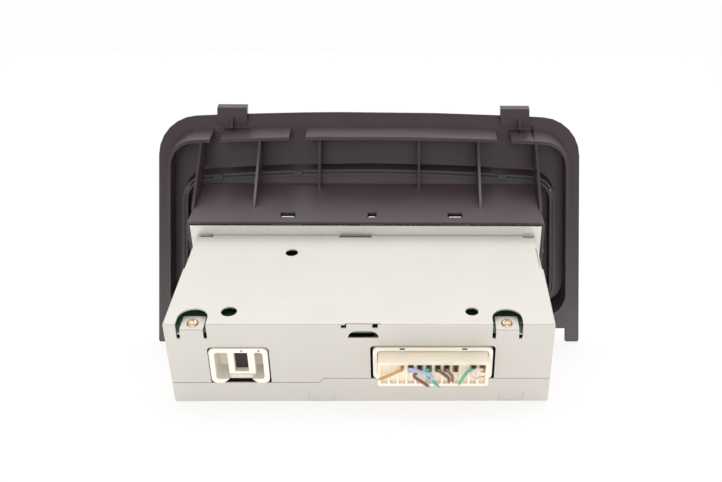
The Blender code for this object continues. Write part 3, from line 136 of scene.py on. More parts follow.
paper = bpy.data.materials.new("paper")
paper.use_nodes = True
nodes, links = paper.node_tree.nodes, paper.node_tree.links
nodes["Principled BSDF"].inputs["Base Color"].default_value = (*paper_colour, 1)
nodes["Principled BSDF"].inputs["Roughness"].default_value = paper_roughness
glow = nodes.new("ShaderNodeEmission")
glow.inputs["Color"].default_value = (*white, 1)
seen = nodes.new("ShaderNodeLightPath")
blended = nodes.new("ShaderNodeMixShader")
for socket, looked_at, as_light in ((glow.inputs["Strength"], glow_strength, table_strength),
                                    (blended.inputs[0], floor_glow, table_glow)):
    pick = nodes.new("ShaderNodeMix")
    pick.inputs["A"].default_value, pick.inputs["B"].default_value = as_light, looked_at
    links.new(seen.outputs["Is Camera Ray"], pick.inputs["Factor"])
    links.new(pick.outputs[0], socket)
links.new(nodes["Principled BSDF"].outputs[0], blended.inputs[1])
links.new(glow.outputs[0], blended.inputs[2])
links.new(blended.outputs[0], nodes["Material Output"].inputs["Surface"])
sheet = bpy.data.meshes.new("floor")
corners = ((-1, -1), (1, -1), (1, 1), (-1, 1))
sheet.from_pydata([(x * floor_half, y * floor_half, 0) for x, y in corners], [], [(0, 1, 2, 3)])
sheet.materials.append(paper)
floor = bpy.data.objects.new("floor", sheet)
bpy.context.scene.collection.objects.link(floor)

for name, (spot, size, watts) in softboxes.items():
    lamp = bpy.data.lights.new(name, "AREA")
    lamp.shape = "RECTANGLE"
    lamp.size, lamp.size_y = size
    lamp.energy = watts
    stand = bpy.data.objects.new(name, lamp)
    bpy.context.scene.collection.objects.link(stand)
    stand.location = spot
    stand.rotation_euler = (-Vector(spot)).to_track_quat("-Z", "Y").to_euler()


# The fascia: one charcoal ABS moulding with a spark-eroded grain. Its edges have small
# radii from the tool, and its back shows round marks where the ejector pins pushed it out.
def srgb(*tones):
    """A colour as it looks on a screen, turned into the light it reflects."""
    return tuple(tone / 12.92 if tone <= 0.04045 else ((tone + 0.055) / 1.055) ** 2.4
                 for tone in tones)


class Value:
    """A number or colour that runs through a material; sums on it add its maths nodes."""

    def __init__(self, finish, socket):
        self.finish, self.socket = finish, socket

    def sum(self, operation, *parts):
        return self.finish.node("Math", {"operation": operation}, *parts)

    def __add__(self, other):
        return self.sum("ADD", self, other)

    def __sub__(self, other):
        return self.sum("SUBTRACT", self, other)

    def __rsub__(self, other):
        return self.sum("SUBTRACT", other, self)

    def __mul__(self, other):
        return self.sum("MULTIPLY", self, other)

    def __abs__(self):
        return self.sum("ABSOLUTE", self)

    __radd__, __rmul__ = __add__, __mul__

    def between(self, low, high):
        """0 below low, 1 above high and an even rise from one to the other."""
        return self.finish.node("MapRange", {"clamp": True}, self, low, high)


class Finish:
    """A material: its plain values are given here, and what varies is set after."""

    def __init__(self, name, colour, roughness, metallic=0.0):
        self.material = bpy.data.materials.new(name)
        self.material.use_nodes = True
        self.tree = self.material.node_tree
        self.shader = self.tree.nodes["Principled BSDF"]
        for socket, value in (("Base Color", colour), ("Roughness", roughness),
                              ("Metallic", metallic)):
            self.set(socket, value)

    def link(self, socket, value):
        if isinstance(value, Value):
            self.tree.links.new(value.socket, socket)
        elif isinstance(value, tuple) and len(value) == 3 and socket.type == "RGBA":
            socket.default_value = (*value, 1)
        else:
            socket.default_value = value

    def node(self, kind, settings, *sockets, out=0, **named):
        """One node with its settings, its sockets in order or by name, and one output."""
        node = self.tree.nodes.new("ShaderNode" + kind)
        for key, setting in settings.items():
            setattr(node, key, setting)
        for socket, value in zip(node.inputs, sockets):
            self.link(socket, value)
        for key, value in named.items():
            self.link(node.inputs[key.replace("_", " ")], value)
        return Value(self, node.outputs[out])

    def set(self, socket, value):
        self.link(self.shader.inputs[socket], value)
        return self

    def place(self, stretch=(1, 1, 1)):
        """Places on the piece, in metres, stretched along its axes."""
        spot = self.node("TexCoord", {}, out="Object")
        return self.node("Mapping", {}, spot, Scale=stretch)

    def cloud(self, size, stretch=(1, 1, 1), detail=2.0, **more):
        """Soft random patches about size metres wide, from 0 to 1."""
        return self.node("TexNoise", {}, Vector=self.place(stretch), Scale=1 / size,
                         Detail=detail, **more)

    def blend(self, share, first, second):
        """A colour that goes from first to second as share goes from 0 to 1."""
        node = self.tree.nodes.new("ShaderNodeMix")
        node.data_type = "RGBA"
        self.link(node.inputs[0], share)
        self.link(node.inputs[6], first)
        self.link(node.inputs[7], second)
        return Value(self, node.outputs[2])

    def relief(self, height, depth):
        """A surface relief whose height of 1 stands depth metres proud."""
        self.set("Normal", self.node("Bump", {}, Strength=1.0, Distance=depth, Height=height))
        return self


def tone(colour, share):
    """The colour made lighter or darker."""
    return tuple(part * share for part in colour)


weld = 0.002 * mm
fascia_colour, fascia_roughness = srgb(0.245, 0.195, 0.211), 0.34
fascia_rim = 0.42 * mm
flow_size = 30 * mm
ejector_radius = 3 * mm
ejector_proud = 0.12 * mm
ejector_places = ((76.6 * mm, -25.2 * mm), (52.9 * mm, -25.2 * mm), (-34.5 * mm, -25.2 * mm),
                  (-104 * mm, -18.3 * mm), (103.9 * mm, -17.6 * mm))
# In the fascia's own frame: the clips' tops slope down to the rear, and each clip runs out
# into the rim below it. The cuts reach past what they take away.
clip_spans = ((-85.6 * mm, -69 * mm), (73.6 * mm, 90 * mm))
clip_thick, clip_top, clip_rear_top = 3.4 * mm, 3.9 * mm, 1.5 * mm
clip_foot, clip_root, clip_root_rim = -1.9 * mm, -8.4 * mm, 0.2 * mm
overrun, clip_overrun = 1 * mm, 3 * mm
# The outer gussets end under the ledge: each cut starts at the ledge's top and follows the
# fascia's slope between these two drops from its upper edge, in the case's frame.
gusset_middle, gusset_half = 92.65 * mm, 0.8 * mm
ledge_top = 76.3 * mm
stub_drops, stub_height, stub_reach = (10.1 * mm, 6.5 * mm), 3 * mm, 20 * mm
# An arched wall joins the hood's roof to the rim of the opening.
root_half, root_top, root_bottom = 91.5 * mm, 34.5 * mm, 42.5 * mm
root_back, root_wall = 5.2 * mm, 1.1 * mm
opening_arch, arch_steps = 1200 * mm, 16
disc_sides = 32


def moulded(name, colour, roughness, grain=0.45 * mm, depth=0.02 * mm, swing=0.10):
    """Moulded plastic: a fine even grain, faint flow clouds and patches rubbed smoother."""
    look = Finish(name, colour, roughness)
    flow = look.cloud(flow_size, detail=3.0)
    fine = look.cloud(grain)
    look.set("Base Color", look.blend(flow * 0.6 + fine * 0.4, tone(colour, 1 - swing),
                                      tone(colour, 1 + swing)))
    look.set("Roughness", (flow - 0.5) * 0.2 + roughness)
    return look.relief(fine, depth)


def solid(node):
    """A CAD node's solid with its seams closed and its flat faces whole, to work on."""
    shape = bmesh.new()
    shape.from_mesh(frame["nodes"][node].data)
    bmesh.ops.remove_doubles(shape, verts=shape.verts, dist=weld)
    bmesh.ops.dissolve_limit(shape, angle_limit=math.radians(1), verts=shape.verts,
                             edges=shape.edges)
    return shape


def piece(name, shape, finish, body, slot, rim=0.0, place=None, limit=35, rounds=2):
    """A piece of the unit from a bmesh, with rounded edges, riding on its body."""
    mesh = bpy.data.meshes.new(name)
    shape.to_mesh(mesh)
    shape.free()
    if place is not None:
        mesh.transform(place)
    mesh.materials.append(finish.material)
    mesh.shade_smooth()
    thing = bpy.data.objects.new(name, mesh)
    bpy.context.scene.collection.objects.link(thing)
    if rim:
        edge = thing.modifiers.new("rim", "BEVEL")
        edge.width, edge.segments = rim, rounds
        edge.limit_method, edge.angle_limit = "ANGLE", math.radians(limit)
        thing.modifiers.new("even", "WEIGHTED_NORMAL")
    else:
        mesh.set_sharp_from_angle(angle=math.radians(limit))
    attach(thing, body)
    return thing


def refined(node, finish, rim, **more):
    """A CAD node with rounded edges and its own finish; it stands for the node."""
    thing = piece(node + "_skin", solid(node), finish, carrier[node], slots[node], rim, **more)
    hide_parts(node)


def disc(radius, low, high):
    """A round plate or bar along Z."""
    shape = bmesh.new()
    bmesh.ops.create_cone(shape, cap_ends=True, segments=disc_sides, radius1=radius,
                          radius2=radius, depth=high - low)
    bmesh.ops.translate(shape, vec=(0, 0, (low + high) / 2), verts=shape.verts)
    return shape


def prism(outline, low, high, place):
    """A straight bar whose flat outline, in X and Y, is drawn out from low to high along Z."""
    shape = bmesh.new()
    flat = shape.faces.new([shape.verts.new((x, y, low)) for x, y in outline])
    moved = bmesh.ops.extrude_face_region(shape, geom=[flat])["geom"]
    bmesh.ops.translate(shape, vec=(0, 0, high - low),
                        verts=[part for part in moved if isinstance(part, bmesh.types.BMVert)])
    bmesh.ops.recalc_face_normals(shape, faces=shape.faces)
    shape.transform(place)
    return shape


def carved(shape, cutters):
    """The shape with the cutters taken out of it."""
    def held(part):
        mesh = bpy.data.meshes.new("part")
        part.to_mesh(mesh)
        part.free()
        thing = bpy.data.objects.new("part", mesh)
        bpy.context.scene.collection.objects.link(thing)
        return thing

    body, tools = held(shape), [held(cutter) for cutter in cutters]
    for tool in tools:
        step = body.modifiers.new("cut", "BOOLEAN")
        step.operation, step.solver, step.object = "DIFFERENCE", "EXACT", tool
    graph = bpy.context.evaluated_depsgraph_get()
    result = bmesh.new()
    result.from_mesh(body.evaluated_get(graph).to_mesh())
    for thing in (body, *tools):
        bpy.data.objects.remove(thing, do_unlink=True)
    return result


along_x = Matrix(((0, 0, 1, 0), (1, 0, 0, 0), (0, 1, 0, 0), (0, 0, 0, 1)))
charcoal = moulded("charcoal_abs", fascia_colour, fascia_roughness)
slopes = [prism([(clip_rear_top, -clip_thick - overrun), (clip_rear_top, -clip_thick),
                 (clip_top, 0), (clip_top, overrun), (clip_top + clip_overrun, overrun),
                 (clip_top + clip_overrun, -clip_thick - overrun)],
                -high - overrun, overrun - low, face @ along_x) for low, high in clip_spans]
to_face = case.inverted() @ face
low_end, high_end = [(to_face @ Vector((0, -drop, 0))).y for drop in stub_drops]
outline = [(low_end, ledge_top), (high_end, ledge_top + stub_height),
           (low_end - stub_reach, ledge_top + stub_height), (low_end - stub_reach, ledge_top)]
stubs = [prism(outline, side * gusset_middle - gusset_half, side * gusset_middle + gusset_half,
               case @ along_x) for side in (-1, 1)]
thing = piece("fascia_skin", carved(solid("fascia"), slopes + stubs), charcoal, "unit_body",
              "charcoal", fascia_rim)
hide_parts("fascia")
for index, (low, high) in enumerate(clip_spans):
    root = prism([(clip_foot, -clip_thick), (clip_root, 0), (clip_foot, 0)], -high, -low,
                 face @ along_x)
    piece(f"clip_root_{index + 1}", root, charcoal, "unit_body", "charcoal", clip_root_rim)
spans = [root_half * (2 * step / arch_steps - 1) for step in range(arch_steps + 1)]
arch = [(x, -root_top - opening_arch + math.sqrt(opening_arch ** 2 - x ** 2)) for x in spans]
piece("hood_root", prism([(-root_half, -root_bottom), *arch, (root_half, -root_bottom)],
                         -root_back - root_wall, -root_back, face), charcoal, "unit_body",
      "charcoal")
for index, (x, y) in enumerate(ejector_places):
    piece(f"ejector_mark_{index + 1}", disc(ejector_radius, -ejector_proud, ejector_proud),
          charcoal, "unit_body", "charcoal", ejector_proud / 2,
          face @ Matrix.Translation((x, y, 0)))


# The covers: folded sheet steel with satin zinc plating, held by two brass-coloured screws.
# Rolling left a fine grain across the sheet; handling left clouds and hair scratches. Two
# small notches open the rear fold above the half-moon hole.
plated_colour, zinc_roughness, zinc_metallic = srgb(0.812, 0.796, 0.772), 0.48, 0.35
sheet_rim, cover_bend = 0.12 * mm, 50
rolled_grain, plating_cloud = 0.5 * mm, 28 * mm
scratch_reach, finger_mark = 3 * mm, 14 * mm
along_roll, along_scratch = (0.03, 1, 1), (0.25, 2.5, 2.5)
fold_notches = ((-8.6 * mm, -6.2 * mm), (5.6 * mm, 8.1 * mm))
notch_low, notch_high, notch_deep = 44.1 * mm, 45.8 * mm, 2 * mm


def plated(name, colour, roughness, metallic):
    """Plated sheet steel: rolled grain, clouded plating, hair scratches and dull finger marks."""
    look = Finish(name, colour, roughness, metallic)
    grain = look.cloud(rolled_grain, along_roll)
    clouds = look.cloud(plating_cloud, detail=4.0)
    slanted = look.cloud(scratch_reach, along_scratch, detail=0.0, Distortion=0.3)
    scratch = 1 - abs(slanted - 0.5).between(0, 0.004)
    marks = look.cloud(finger_mark, detail=1.0).between(0.55, 0.7)
    look.set("Base Color", look.blend(clouds * 0.55 + grain * 0.35 + scratch * 0.25,
                                      tone(colour, 0.93), tone(colour, 1.05)))
    look.set("Roughness", marks * 0.08 + (grain - 0.5) * 0.12 + roughness)
    return look.relief(grain - scratch * 0.5, 0.008 * mm)


def bar(low, high):
    """A box between two corners."""
    low, high = Vector(low), Vector(high)
    shape = bmesh.new()
    bmesh.ops.create_cube(shape, size=1)
    bmesh.ops.scale(shape, vec=high - low, verts=shape.verts)
    bmesh.ops.translate(shape, vec=(low + high) / 2, verts=shape.verts)
    return shape


zinc_sheet = plated("zinc_plated_sheet", plated_colour, zinc_roughness, zinc_metallic)
cuts = [bar((low, -overrun, notch_low), (high, notch_deep, notch_high))
        for low, high in fold_notches]
for cut in cuts:
    cut.transform(case)
thing = piece("top_cover_skin", carved(solid("top_cover"), cuts), zinc_sheet, "unit_body",
              slots["top_cover"], sheet_rim, limit=cover_bend)
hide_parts("top_cover")
refined("bottom_cover", zinc_sheet, sheet_rim, limit=cover_bend)


# The inner steel: folded side frames that carry the main board, and the flange plate whose
# hooks show in the hood's roof. Both have the covers' plating, less handled and shinier.
frame_colour, frame_roughness, frame_metallic = srgb(0.86, 0.85, 0.83), 0.42, 0.6
frame_sheet = plated("frame_sheet", frame_colour, frame_roughness, frame_metallic)
refined("front_frame", frame_sheet, sheet_rim)
refined("left_side_frame", frame_sheet, sheet_rim)
refined("right_side_frame", frame_sheet, sheet_rim)


# The screws: pan heads with cross recesses, brass-yellow in the cover's tongues and plain
# zinc elsewhere. Each is turned anew round the axis of its CAD node, with a worn recess.
recess_width, recess_depth = 0.75 * mm, 0.9 * mm
recess_share, screw_rim = 0.62, 0.06 * mm
head_heights = {"cover": 1.5 * mm, "hood": 1.6 * mm, "board": 1.4 * mm}
# The pan head's side: out from the axis and down from the crown, in shares of its radius.
pan_shares = ((0.35, 0.03), (0.7, 0.16), (0.92, 0.36), (1, 0.55))
tarnish, tool_ring = 1.6 * mm, 0.12 * mm
brass_colour, zinc_colour, screw_roughness = (0.86, 0.69, 0.47), (0.70, 0.70, 0.69), 0.24


def machined(name, colour, roughness):
    """Turned and plated metal: fine tool rings, tarnish in clouds."""
    look = Finish(name, colour, roughness, 1.0)
    clouds = look.cloud(tarnish, detail=3.0)
    fine = look.cloud(tool_ring)
    look.set("Base Color", look.blend(clouds, tone(colour, 0.72), tone(colour, 1.1)))
    look.set("Roughness", clouds * 0.22 + roughness)
    return look.relief(fine, 0.01 * mm)


def lathed(profile, steps=40):
    """A turned shape from (radius, height) points, closed where the radius is 0."""
    shape = bmesh.new()
    rings = []
    for radius, height in profile:
        if not radius:
            rings.append([shape.verts.new((0, 0, height))])
        else:
            rings.append([shape.verts.new((radius * math.cos(2 * math.pi * step / steps),
                                           radius * math.sin(2 * math.pi * step / steps), height))
                          for step in range(steps)])
    for lower, upper in zip(rings, rings[1:]):
        for step in range(steps):
            after = (step + 1) % steps
            corners = [lower[step % len(lower)], lower[after % len(lower)],
                       upper[after % len(upper)], upper[step % len(upper)]]
            shape.faces.new(list(dict.fromkeys(corners)))
    bmesh.ops.recalc_face_normals(shape, faces=shape.faces)
    return shape


def screw(node, finish, outward, head_height):
    """A cross-recessed pan-head screw in the place of its CAD node."""
    outward = Vector(outward).normalized()
    points = [vert.co for vert in frame["nodes"][node].data.vertices]
    heights = [point.dot(outward) for point in points]
    top, tip = max(heights), min(heights)
    crown = [point for point, height in zip(points, heights) if top - height < weld]
    middle = sum(crown, Vector()) / len(crown)
    spread = [((point - middle) - outward * (point - middle).dot(outward)).length
              for point in points]
    head = max(spread)
    shank = max(reach for reach, height in zip(spread, heights) if height - tip < head_height)
    profile = [(0, 0), *((out * head, -down * head) for out, down in pan_shares),
               (0.99 * head, -head_height), (shank, -head_height),
               (shank, tip - top + shank / 2), (shank / 2, tip - top), (0, tip - top)]
    arm, half = recess_share * head, recess_width / 2
    arms = [bar((-arm, -half, -recess_depth), (arm, half, head)),
            bar((-half, -arm, -recess_depth), (half, arm, head))]
    thing = piece(node + "_turned", carved(lathed(profile), arms), finish, carrier[node],
                  slots[node], screw_rim, axes(outward.orthogonal(), outward, middle), limit=40)
    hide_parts(node)


brass = machined("yellow_passivated", brass_colour, screw_roughness)
zinc = machined("zinc_plated", zinc_colour, screw_roughness)
case_up = case.to_3x3() @ Vector((0, 0, 1))
face_out = face.to_3x3() @ Vector((0, 0, 1))
for index in (1, 2):
    screw(f"cover_screw_{index}", brass, case_up, head_heights["cover"])
    screw(f"left_hood_screw_{index}", zinc, (-1, 0, 0), head_heights["hood"])
    screw(f"right_hood_screw_{index}", zinc, (1, 0, 0), head_heights["hood"])
for side in ("left", "right"):
    screw(f"{side}_board_screw", zinc, -face_out, head_heights["board"])


# The sockets: off-white nylon headers soldered to the main board, their mouths in the rear
# wall. The wide one has two latch pockets in its top edge, shown as dark boxes of painted
# shade. The small one has two red key marks, and inside two guides with a sill between them
# and, behind, a dark plate of painted shade where a deep slot lies in shadow.
nylon_colour, nylon_roughness = srgb(0.965, 0.945, 0.91), 0.42
aged_patch, nylon_grain = 9 * mm, 0.3 * mm
socket_rim = 0.3 * mm
socket_front = -0.8 * mm
latch_places, latch_top = (19.2 * mm, 47.9 * mm), 33.2 * mm
latch_width, latch_height, latch_depth = 2.4 * mm, 0.9 * mm, 0.3 * mm
red_places, red_top = (-54.6 * mm, -46.7 * mm), 31.6 * mm
red_radius = 0.5 * mm
guides = ((-61.6 * mm, -58.7 * mm), (-52.4 * mm, -49.2 * mm))
guide_span, guide_front, guide_rear = (17 * mm, 30.2 * mm), 0.4 * mm, 3.6 * mm
# The last two are the thickness and rim of the dark plate of painted shade behind the sill.
sill_top, guide_overlap, shadow_plate_thick, shadow_plate_rim = 18.6 * mm, 0.2 * mm, 0.4 * mm, 0.05 * mm
shade_colours, shade_grain = (srgb(0.17, 0.13, 0.13), srgb(0.24, 0.19, 0.18)), 0.5 * mm
red_colour = srgb(0.86, 0.33, 0.24)


def nylon(name, colour):
    """Injection-moulded nylon: nearly smooth, and yellowed in clouds."""
    look = Finish(name, colour, nylon_roughness)
    aged = look.cloud(aged_patch, detail=3.0)
    fine = look.cloud(nylon_grain)
    yellowed = (colour[0], colour[1] * 0.965, colour[2] * 0.90)
    look.set("Base Color", look.blend(aged.between(0.4, 0.85), colour, yellowed))
    look.set("Roughness", (aged - 0.5) * 0.15 + nylon_roughness)
    return look.relief(fine, 0.008 * mm)


def on_case(node):
    """The lowest and highest corner of a CAD node in the case's own frame."""
    back = case.inverted()
    places = [back @ vert.co for vert in frame["nodes"][node].data.vertices]
    return tuple(Vector([pick(place[axis] for place in places) for axis in range(3)])
                 for pick in (min, max))


white_nylon = nylon("white_nylon", nylon_colour)
refined("main_socket", white_nylon, socket_rim)
refined("small_socket", white_nylon, socket_rim)
# deep_shade is painted shade: a dark finish for places that lie in shadow.
shade = Finish("deep_shade", shade_colours[0], 0.8)
shade.set("Base Color", shade.blend(shade.cloud(shade_grain), *shade_colours))
# Dark boxes in the socket's top edge: painted shade standing for the latch pockets.
for index, x in enumerate(latch_places):
    piece(f"latch_pocket_shade_{index + 1}",
          bar((x - latch_width / 2, socket_front - latch_depth / 4, latch_top - latch_height),
              (x + latch_width / 2, socket_front + latch_depth, latch_top)),
          shade, "unit_body", "nylon", latch_depth / 4, case)
red = moulded("key_mark_red", red_colour, 0.5, swing=0.2)
for index, x in enumerate(red_places):
    piece(f"key_mark_{index + 1}", disc(red_radius, 0, latch_depth / 3), red, "unit_body", "nylon",
          0, case @ Matrix.Translation((x, socket_front, red_top))
          @ Matrix.Rotation(math.pi / 2, 4, "X"))
for index, (low, high) in enumerate(guides):
    piece(f"plug_guide_{index + 1}", bar((low, guide_front, guide_span[0]),
                                         (high, guide_rear, guide_span[1])),
          white_nylon, "unit_body", "nylon", socket_rim, case)
slot_low, slot_high = guides[0][1] - guide_overlap, guides[1][0] + guide_overlap
piece("guide_sill", bar((slot_low, guide_front, guide_span[0]), (slot_high, guide_rear, sill_top)),
      white_nylon, "unit_body", "nylon", socket_rim, case)
# A dark plate behind the sill: painted shade where the deep slot lies in shadow.
piece("guide_shadow", bar((slot_low, guide_rear - shadow_plate_thick, sill_top - guide_overlap),
                          (slot_high, guide_rear, guide_span[1])),
      shade, "unit_body", "nylon", shadow_plate_rim, case)


# The harness plug: the cream connector that stayed in the wide socket when the loom was
# cut. Its cells hold tinned-brass crimps, and each crimp still grips a short end of wire.
cream_colour = srgb(0.975, 0.94, 0.87)
plug_rim = 0.2 * mm
plug_wall = 1.4 * mm
cell_count, cell_wall, cell_depth = 12, 1 * mm, 4 * mm
web_front, web_top, web_overlap = 1.8 * mm, 24.6 * mm, 0.1 * mm
crimp_cells = (4, 5, 6, 7, 8, 9, 11, 12)
crimp_width, crimp_height, crimp_sheet = 2.3 * mm, 2.9 * mm, 0.28 * mm
crimp_out, crimp_rim = 1.1 * mm, 0.05 * mm
tin_colour, tin_roughness = (0.50, 0.40, 0.24), 0.34
copper_colour, copper_roughness = (0.75, 0.38, 0.18), 0.28
wire_root_height, wire_lead = 27.4 * mm, 0.4 * mm
wire_radius, wire_sides, wire_rim = 0.75 * mm, 12, 0.1 * mm
strand_radius, strand_sides, strand_out = 0.36 * mm, 7, 1.1 * mm
jacket_roughness, jacket_swing = 0.38, 0.14
# Each wire is the cell that it leaves, its colour and its points: x counted in cells along
# the plug from its side wall, and y and z in millimetres of the case's frame.
wires = (
    (3, (0.78, 0.60, 0.36), ((2.28, -11.0, 28.1), (1.18, -11.4, 25.8), (0.27, -11.2, 23.8))),
    (4, (0.66, 0.70, 0.86), ((3.61, -12.6, 30.6), (4.83, -13.2, 29.5), (5.94, -13.5, 27.6),
                             (5.94, -13.6, 24.7))),
    (5, (0.50, 0.36, 0.34), ((4.07, -10.8, 25.3), (4.86, -10.9, 22.1), (5.64, -11.0, 19.5))),
    (6, (0.36, 0.72, 0.66), ((5.40, -11.2, 28.5), (5.67, -11.3, 24.8), (6.70, -12.8, 21.3))),
    (7, (0.48, 0.38, 0.31), ((6.94, -10.8, 27.9), (7.85, -11.0, 24.5), (8.00, -11.0, 21.9))),
    (8, (0.50, 0.40, 0.33), ((7.80, -12.6, 29.7), (8.27, -13.0, 27.1), (8.34, -13.0, 24.2))),
    (11, (0.42, 0.70, 0.58), ((10.16, -11.0, 28.6), (9.64, -11.4, 25.5), (9.18, -11.4, 21.3))),
    (12, (0.88, 0.80, 0.78), ((11.02, -12.8, 30.5), (10.36, -13.4, 28.3), (10.82, -13.4, 25.7),
                              (11.61, -13.2, 26.7))),
)
route_steps = 8


def smooth_route(points):
    """A smooth curve through the points."""
    path = [2 * points[0] - points[1], *points, 2 * points[-1] - points[-2]]
    curve = []
    for before, start, end, after in zip(path, path[1:], path[2:], path[3:]):
        for step in range(route_steps):
            t = step / route_steps
            curve.append(0.5 * (2 * start + (end - before) * t
                                + (2 * before - 5 * start + 4 * end - after) * t * t
                                + (3 * start - before - 3 * end + after) * t * t * t))
    return curve + [points[-1]]


def tube(path, radius, sides):
    """A round bar along a path, with flat ends, as a bmesh."""
    shape = bmesh.new()
    rings = []
    angles = [2 * math.pi * step / sides for step in range(sides)]
    side = (path[1] - path[0]).orthogonal().normalized()
    for index, spot in enumerate(path):
        along = (path[min(index + 1, len(path) - 1)] - path[max(index - 1, 0)]).normalized()
        side = (side - along * side.dot(along)).normalized()
        other = along.cross(side)
        rings.append([shape.verts.new(spot + radius * (side * math.cos(angle)
                                                       + other * math.sin(angle)))
                      for angle in angles])
    for first, second in zip(rings, rings[1:]):
        for step in range(sides):
            after = (step + 1) % sides
            shape.faces.new((first[step], first[after], second[after], second[step]))
    shape.faces.new(rings[0][::-1])
    shape.faces.new(rings[-1])
    bmesh.ops.recalc_face_normals(shape, faces=shape.faces)
    return shape


def crimp(middle_x, low_y, high_y, low_z):
    """An open crimp barrel: a sheet bent to a U, its mouth up, along the case's Y."""
    half, sheet, bend = crimp_width / 2, crimp_sheet, 1.5 * crimp_sheet
    outline = [(-half, crimp_height), (-half, sheet), (-half + sheet, 0), (half - sheet, 0),
               (half, sheet), (half, crimp_height), (half - sheet, crimp_height),
               (half - sheet, bend), (half - bend, sheet), (bend - half, sheet),
               (sheet - half, bend), (sheet - half, crimp_height)]
    shape = bmesh.new()
    flat = shape.faces.new([shape.verts.new((middle_x + x, low_y, low_z + z)) for x, z in outline])
    moved = bmesh.ops.extrude_face_region(shape, geom=[flat])["geom"]
    bmesh.ops.translate(shape, vec=(0, high_y - low_y, 0),
                        verts=[part for part in moved if isinstance(part, bmesh.types.BMVert)])
    bmesh.ops.recalc_face_normals(shape, faces=shape.faces)
    return shape


cream_nylon = nylon("cream_nylon", cream_colour)
refined("harness_plug", cream_nylon, plug_rim)
tin = machined("tinned_brass", tin_colour, tin_roughness)
copper = machined("copper_strands", copper_colour, copper_roughness)
low, high = on_case("harness_plug")
cell_pitch = (high.x - low.x - 2 * plug_wall + cell_wall) / cell_count
cell_middles = {cell: low.x + plug_wall + cell_pitch * (cell - 0.5) - cell_wall / 2
                for cell in range(1, cell_count + 1)}
web_half = (cell_pitch - cell_wall) / 2 + web_overlap
for cell, middle in cell_middles.items():
    head = web_top if cell in crimp_cells else high.z - plug_wall
    web = bar((middle - web_half, low.y + web_front, low.z + plug_wall - web_overlap),
              (middle + web_half, low.y + cell_depth, head))
    piece(f"cell_web_{cell}", web, cream_nylon, "unit_body", "cream", plug_rim, case)
barrel_low = wire_root_height - wire_radius - 1.2 * crimp_sheet
for cell in crimp_cells:
    barrel = crimp(cell_middles[cell], low.y - crimp_out, low.y + cell_depth - wire_lead,
                   barrel_low)
    piece(f"crimp_{cell}", barrel, tin, "unit_body", "brass", crimp_rim, case)
for number, (cell, colour, route) in enumerate(wires, 1):
    root = Vector((cell_middles[cell], low.y, wire_root_height))
    path = smooth_route([root + Vector((0, cell_depth - 2 * wire_lead, 0)),
                         root - Vector((0, wire_lead, 0))]
                        + [Vector((low.x + cells * cell_pitch, y * mm, z * mm))
                           for cells, y, z in route])
    jacket = moulded(f"jacket_{number}", srgb(*colour), jacket_roughness, swing=jacket_swing)
    thing = piece(f"wire_{number}", tube(path, wire_radius, wire_sides), jacket, "unit_body",
                  "wire", wire_rim, case, limit=60)
    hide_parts(f"harness_wire_{number}")
    onward = (path[-1] - path[-2]).normalized() * strand_out
    strands = tube([path[-2], path[-1] + onward], strand_radius, strand_sides)
    piece(f"strands_{number}", strands, copper, "unit_body", "wire", 0, case)


# The boards: green-lacquered laminate with paler copper tracks and tinned pads. They show
# through the cover's tongue windows, its half-moon hole and its round holes.
lacquer, track_green, pad_tin = srgb(0.20, 0.33, 0.27), srgb(0.30, 0.45, 0.36), (0.62, 0.62, 0.58)
board_roughness, lacquer_cloud = 0.36, 18 * mm
track_pitch, pad_pitch, copper_proud = 5 * mm, 3.2 * mm, 0.04 * mm
board = Finish("lacquered_board", lacquer, board_roughness)
spot = board.place()
grid = board.node("TexVoronoi", {"feature": "DISTANCE_TO_EDGE"}, Vector=spot,
                  Scale=1 / track_pitch, Randomness=0.35)
dots = board.node("TexVoronoi", {"feature": "F1"}, Vector=spot, Scale=1 / pad_pitch,
                  Randomness=0.25)
tracks = 1 - grid.between(0.05, 0.09)
pads = 1 - dots.between(0.16, 0.20)
mottled = board.blend(board.cloud(lacquer_cloud), tone(lacquer, 0.85), tone(lacquer, 1.15))
board.set("Base Color", board.blend(pads, board.blend(tracks * 0.8, mottled, track_green), pad_tin))
board.set("Metallic", pads * 0.9)
board.relief(tracks * 0.4 + pads, copper_proud)


def dress(finish, *names):
    """Give CAD nodes whose shape is right their finish."""
    for name in names:
        for slot in frame["nodes"][name].material_slots:
            slot.material = finish.material


dress(board, "main_board", "key_board")


# The parts on the main board: a plated tuner can, an extruded heat sink with its amplifier,
# a processor in black epoxy, sleeved capacitors and cream sockets for the flat cable.
aluminium_colour, aluminium_roughness = (0.74, 0.74, 0.75), 0.34
epoxy_colour, epoxy_roughness, epoxy_grain = srgb(0.17, 0.165, 0.16), 0.55, 0.2 * mm
sleeve_colour, sleeve_roughness = srgb(0.13, 0.16, 0.33), 0.28
sleeve_grain, sleeve_relief = 1.5 * mm, 0.03 * mm
film_colour, strip_colour, film_roughness = srgb(0.86, 0.83, 0.76), srgb(0.72, 0.62, 0.50), 0.35
strip_scale, strip_proud = 250.0, 0.05 * mm
dress(zinc_sheet, "tuner_module")
aluminium = machined("extruded_aluminium", aluminium_colour, aluminium_roughness)
epoxy = moulded("black_epoxy", epoxy_colour, epoxy_roughness, grain=epoxy_grain)
sleeve = moulded("shrink_sleeve", sleeve_colour, sleeve_roughness, grain=sleeve_grain,
                 depth=sleeve_relief)
dress(aluminium, "heat_sink")
dress(epoxy, "amplifier_chip", "processor_chip")
dress(sleeve, *(f"filter_capacitor_{index}" for index in (1, 2, 3)))
dress(cream_nylon, "display_holder", "board_ribbon_socket", "key_ribbon_socket")
film = Finish("flat_cable_film", film_colour, film_roughness)
strips = film.node("TexWave", {"bands_direction": "X"}, Vector=film.place(), Scale=strip_scale,
                   Distortion=0.0)
film.set("Base Color", film.blend(strips.between(0.5, 0.7), film_colour, strip_colour))
film.relief(strips, strip_proud)
dress(film, "ribbon_cable")


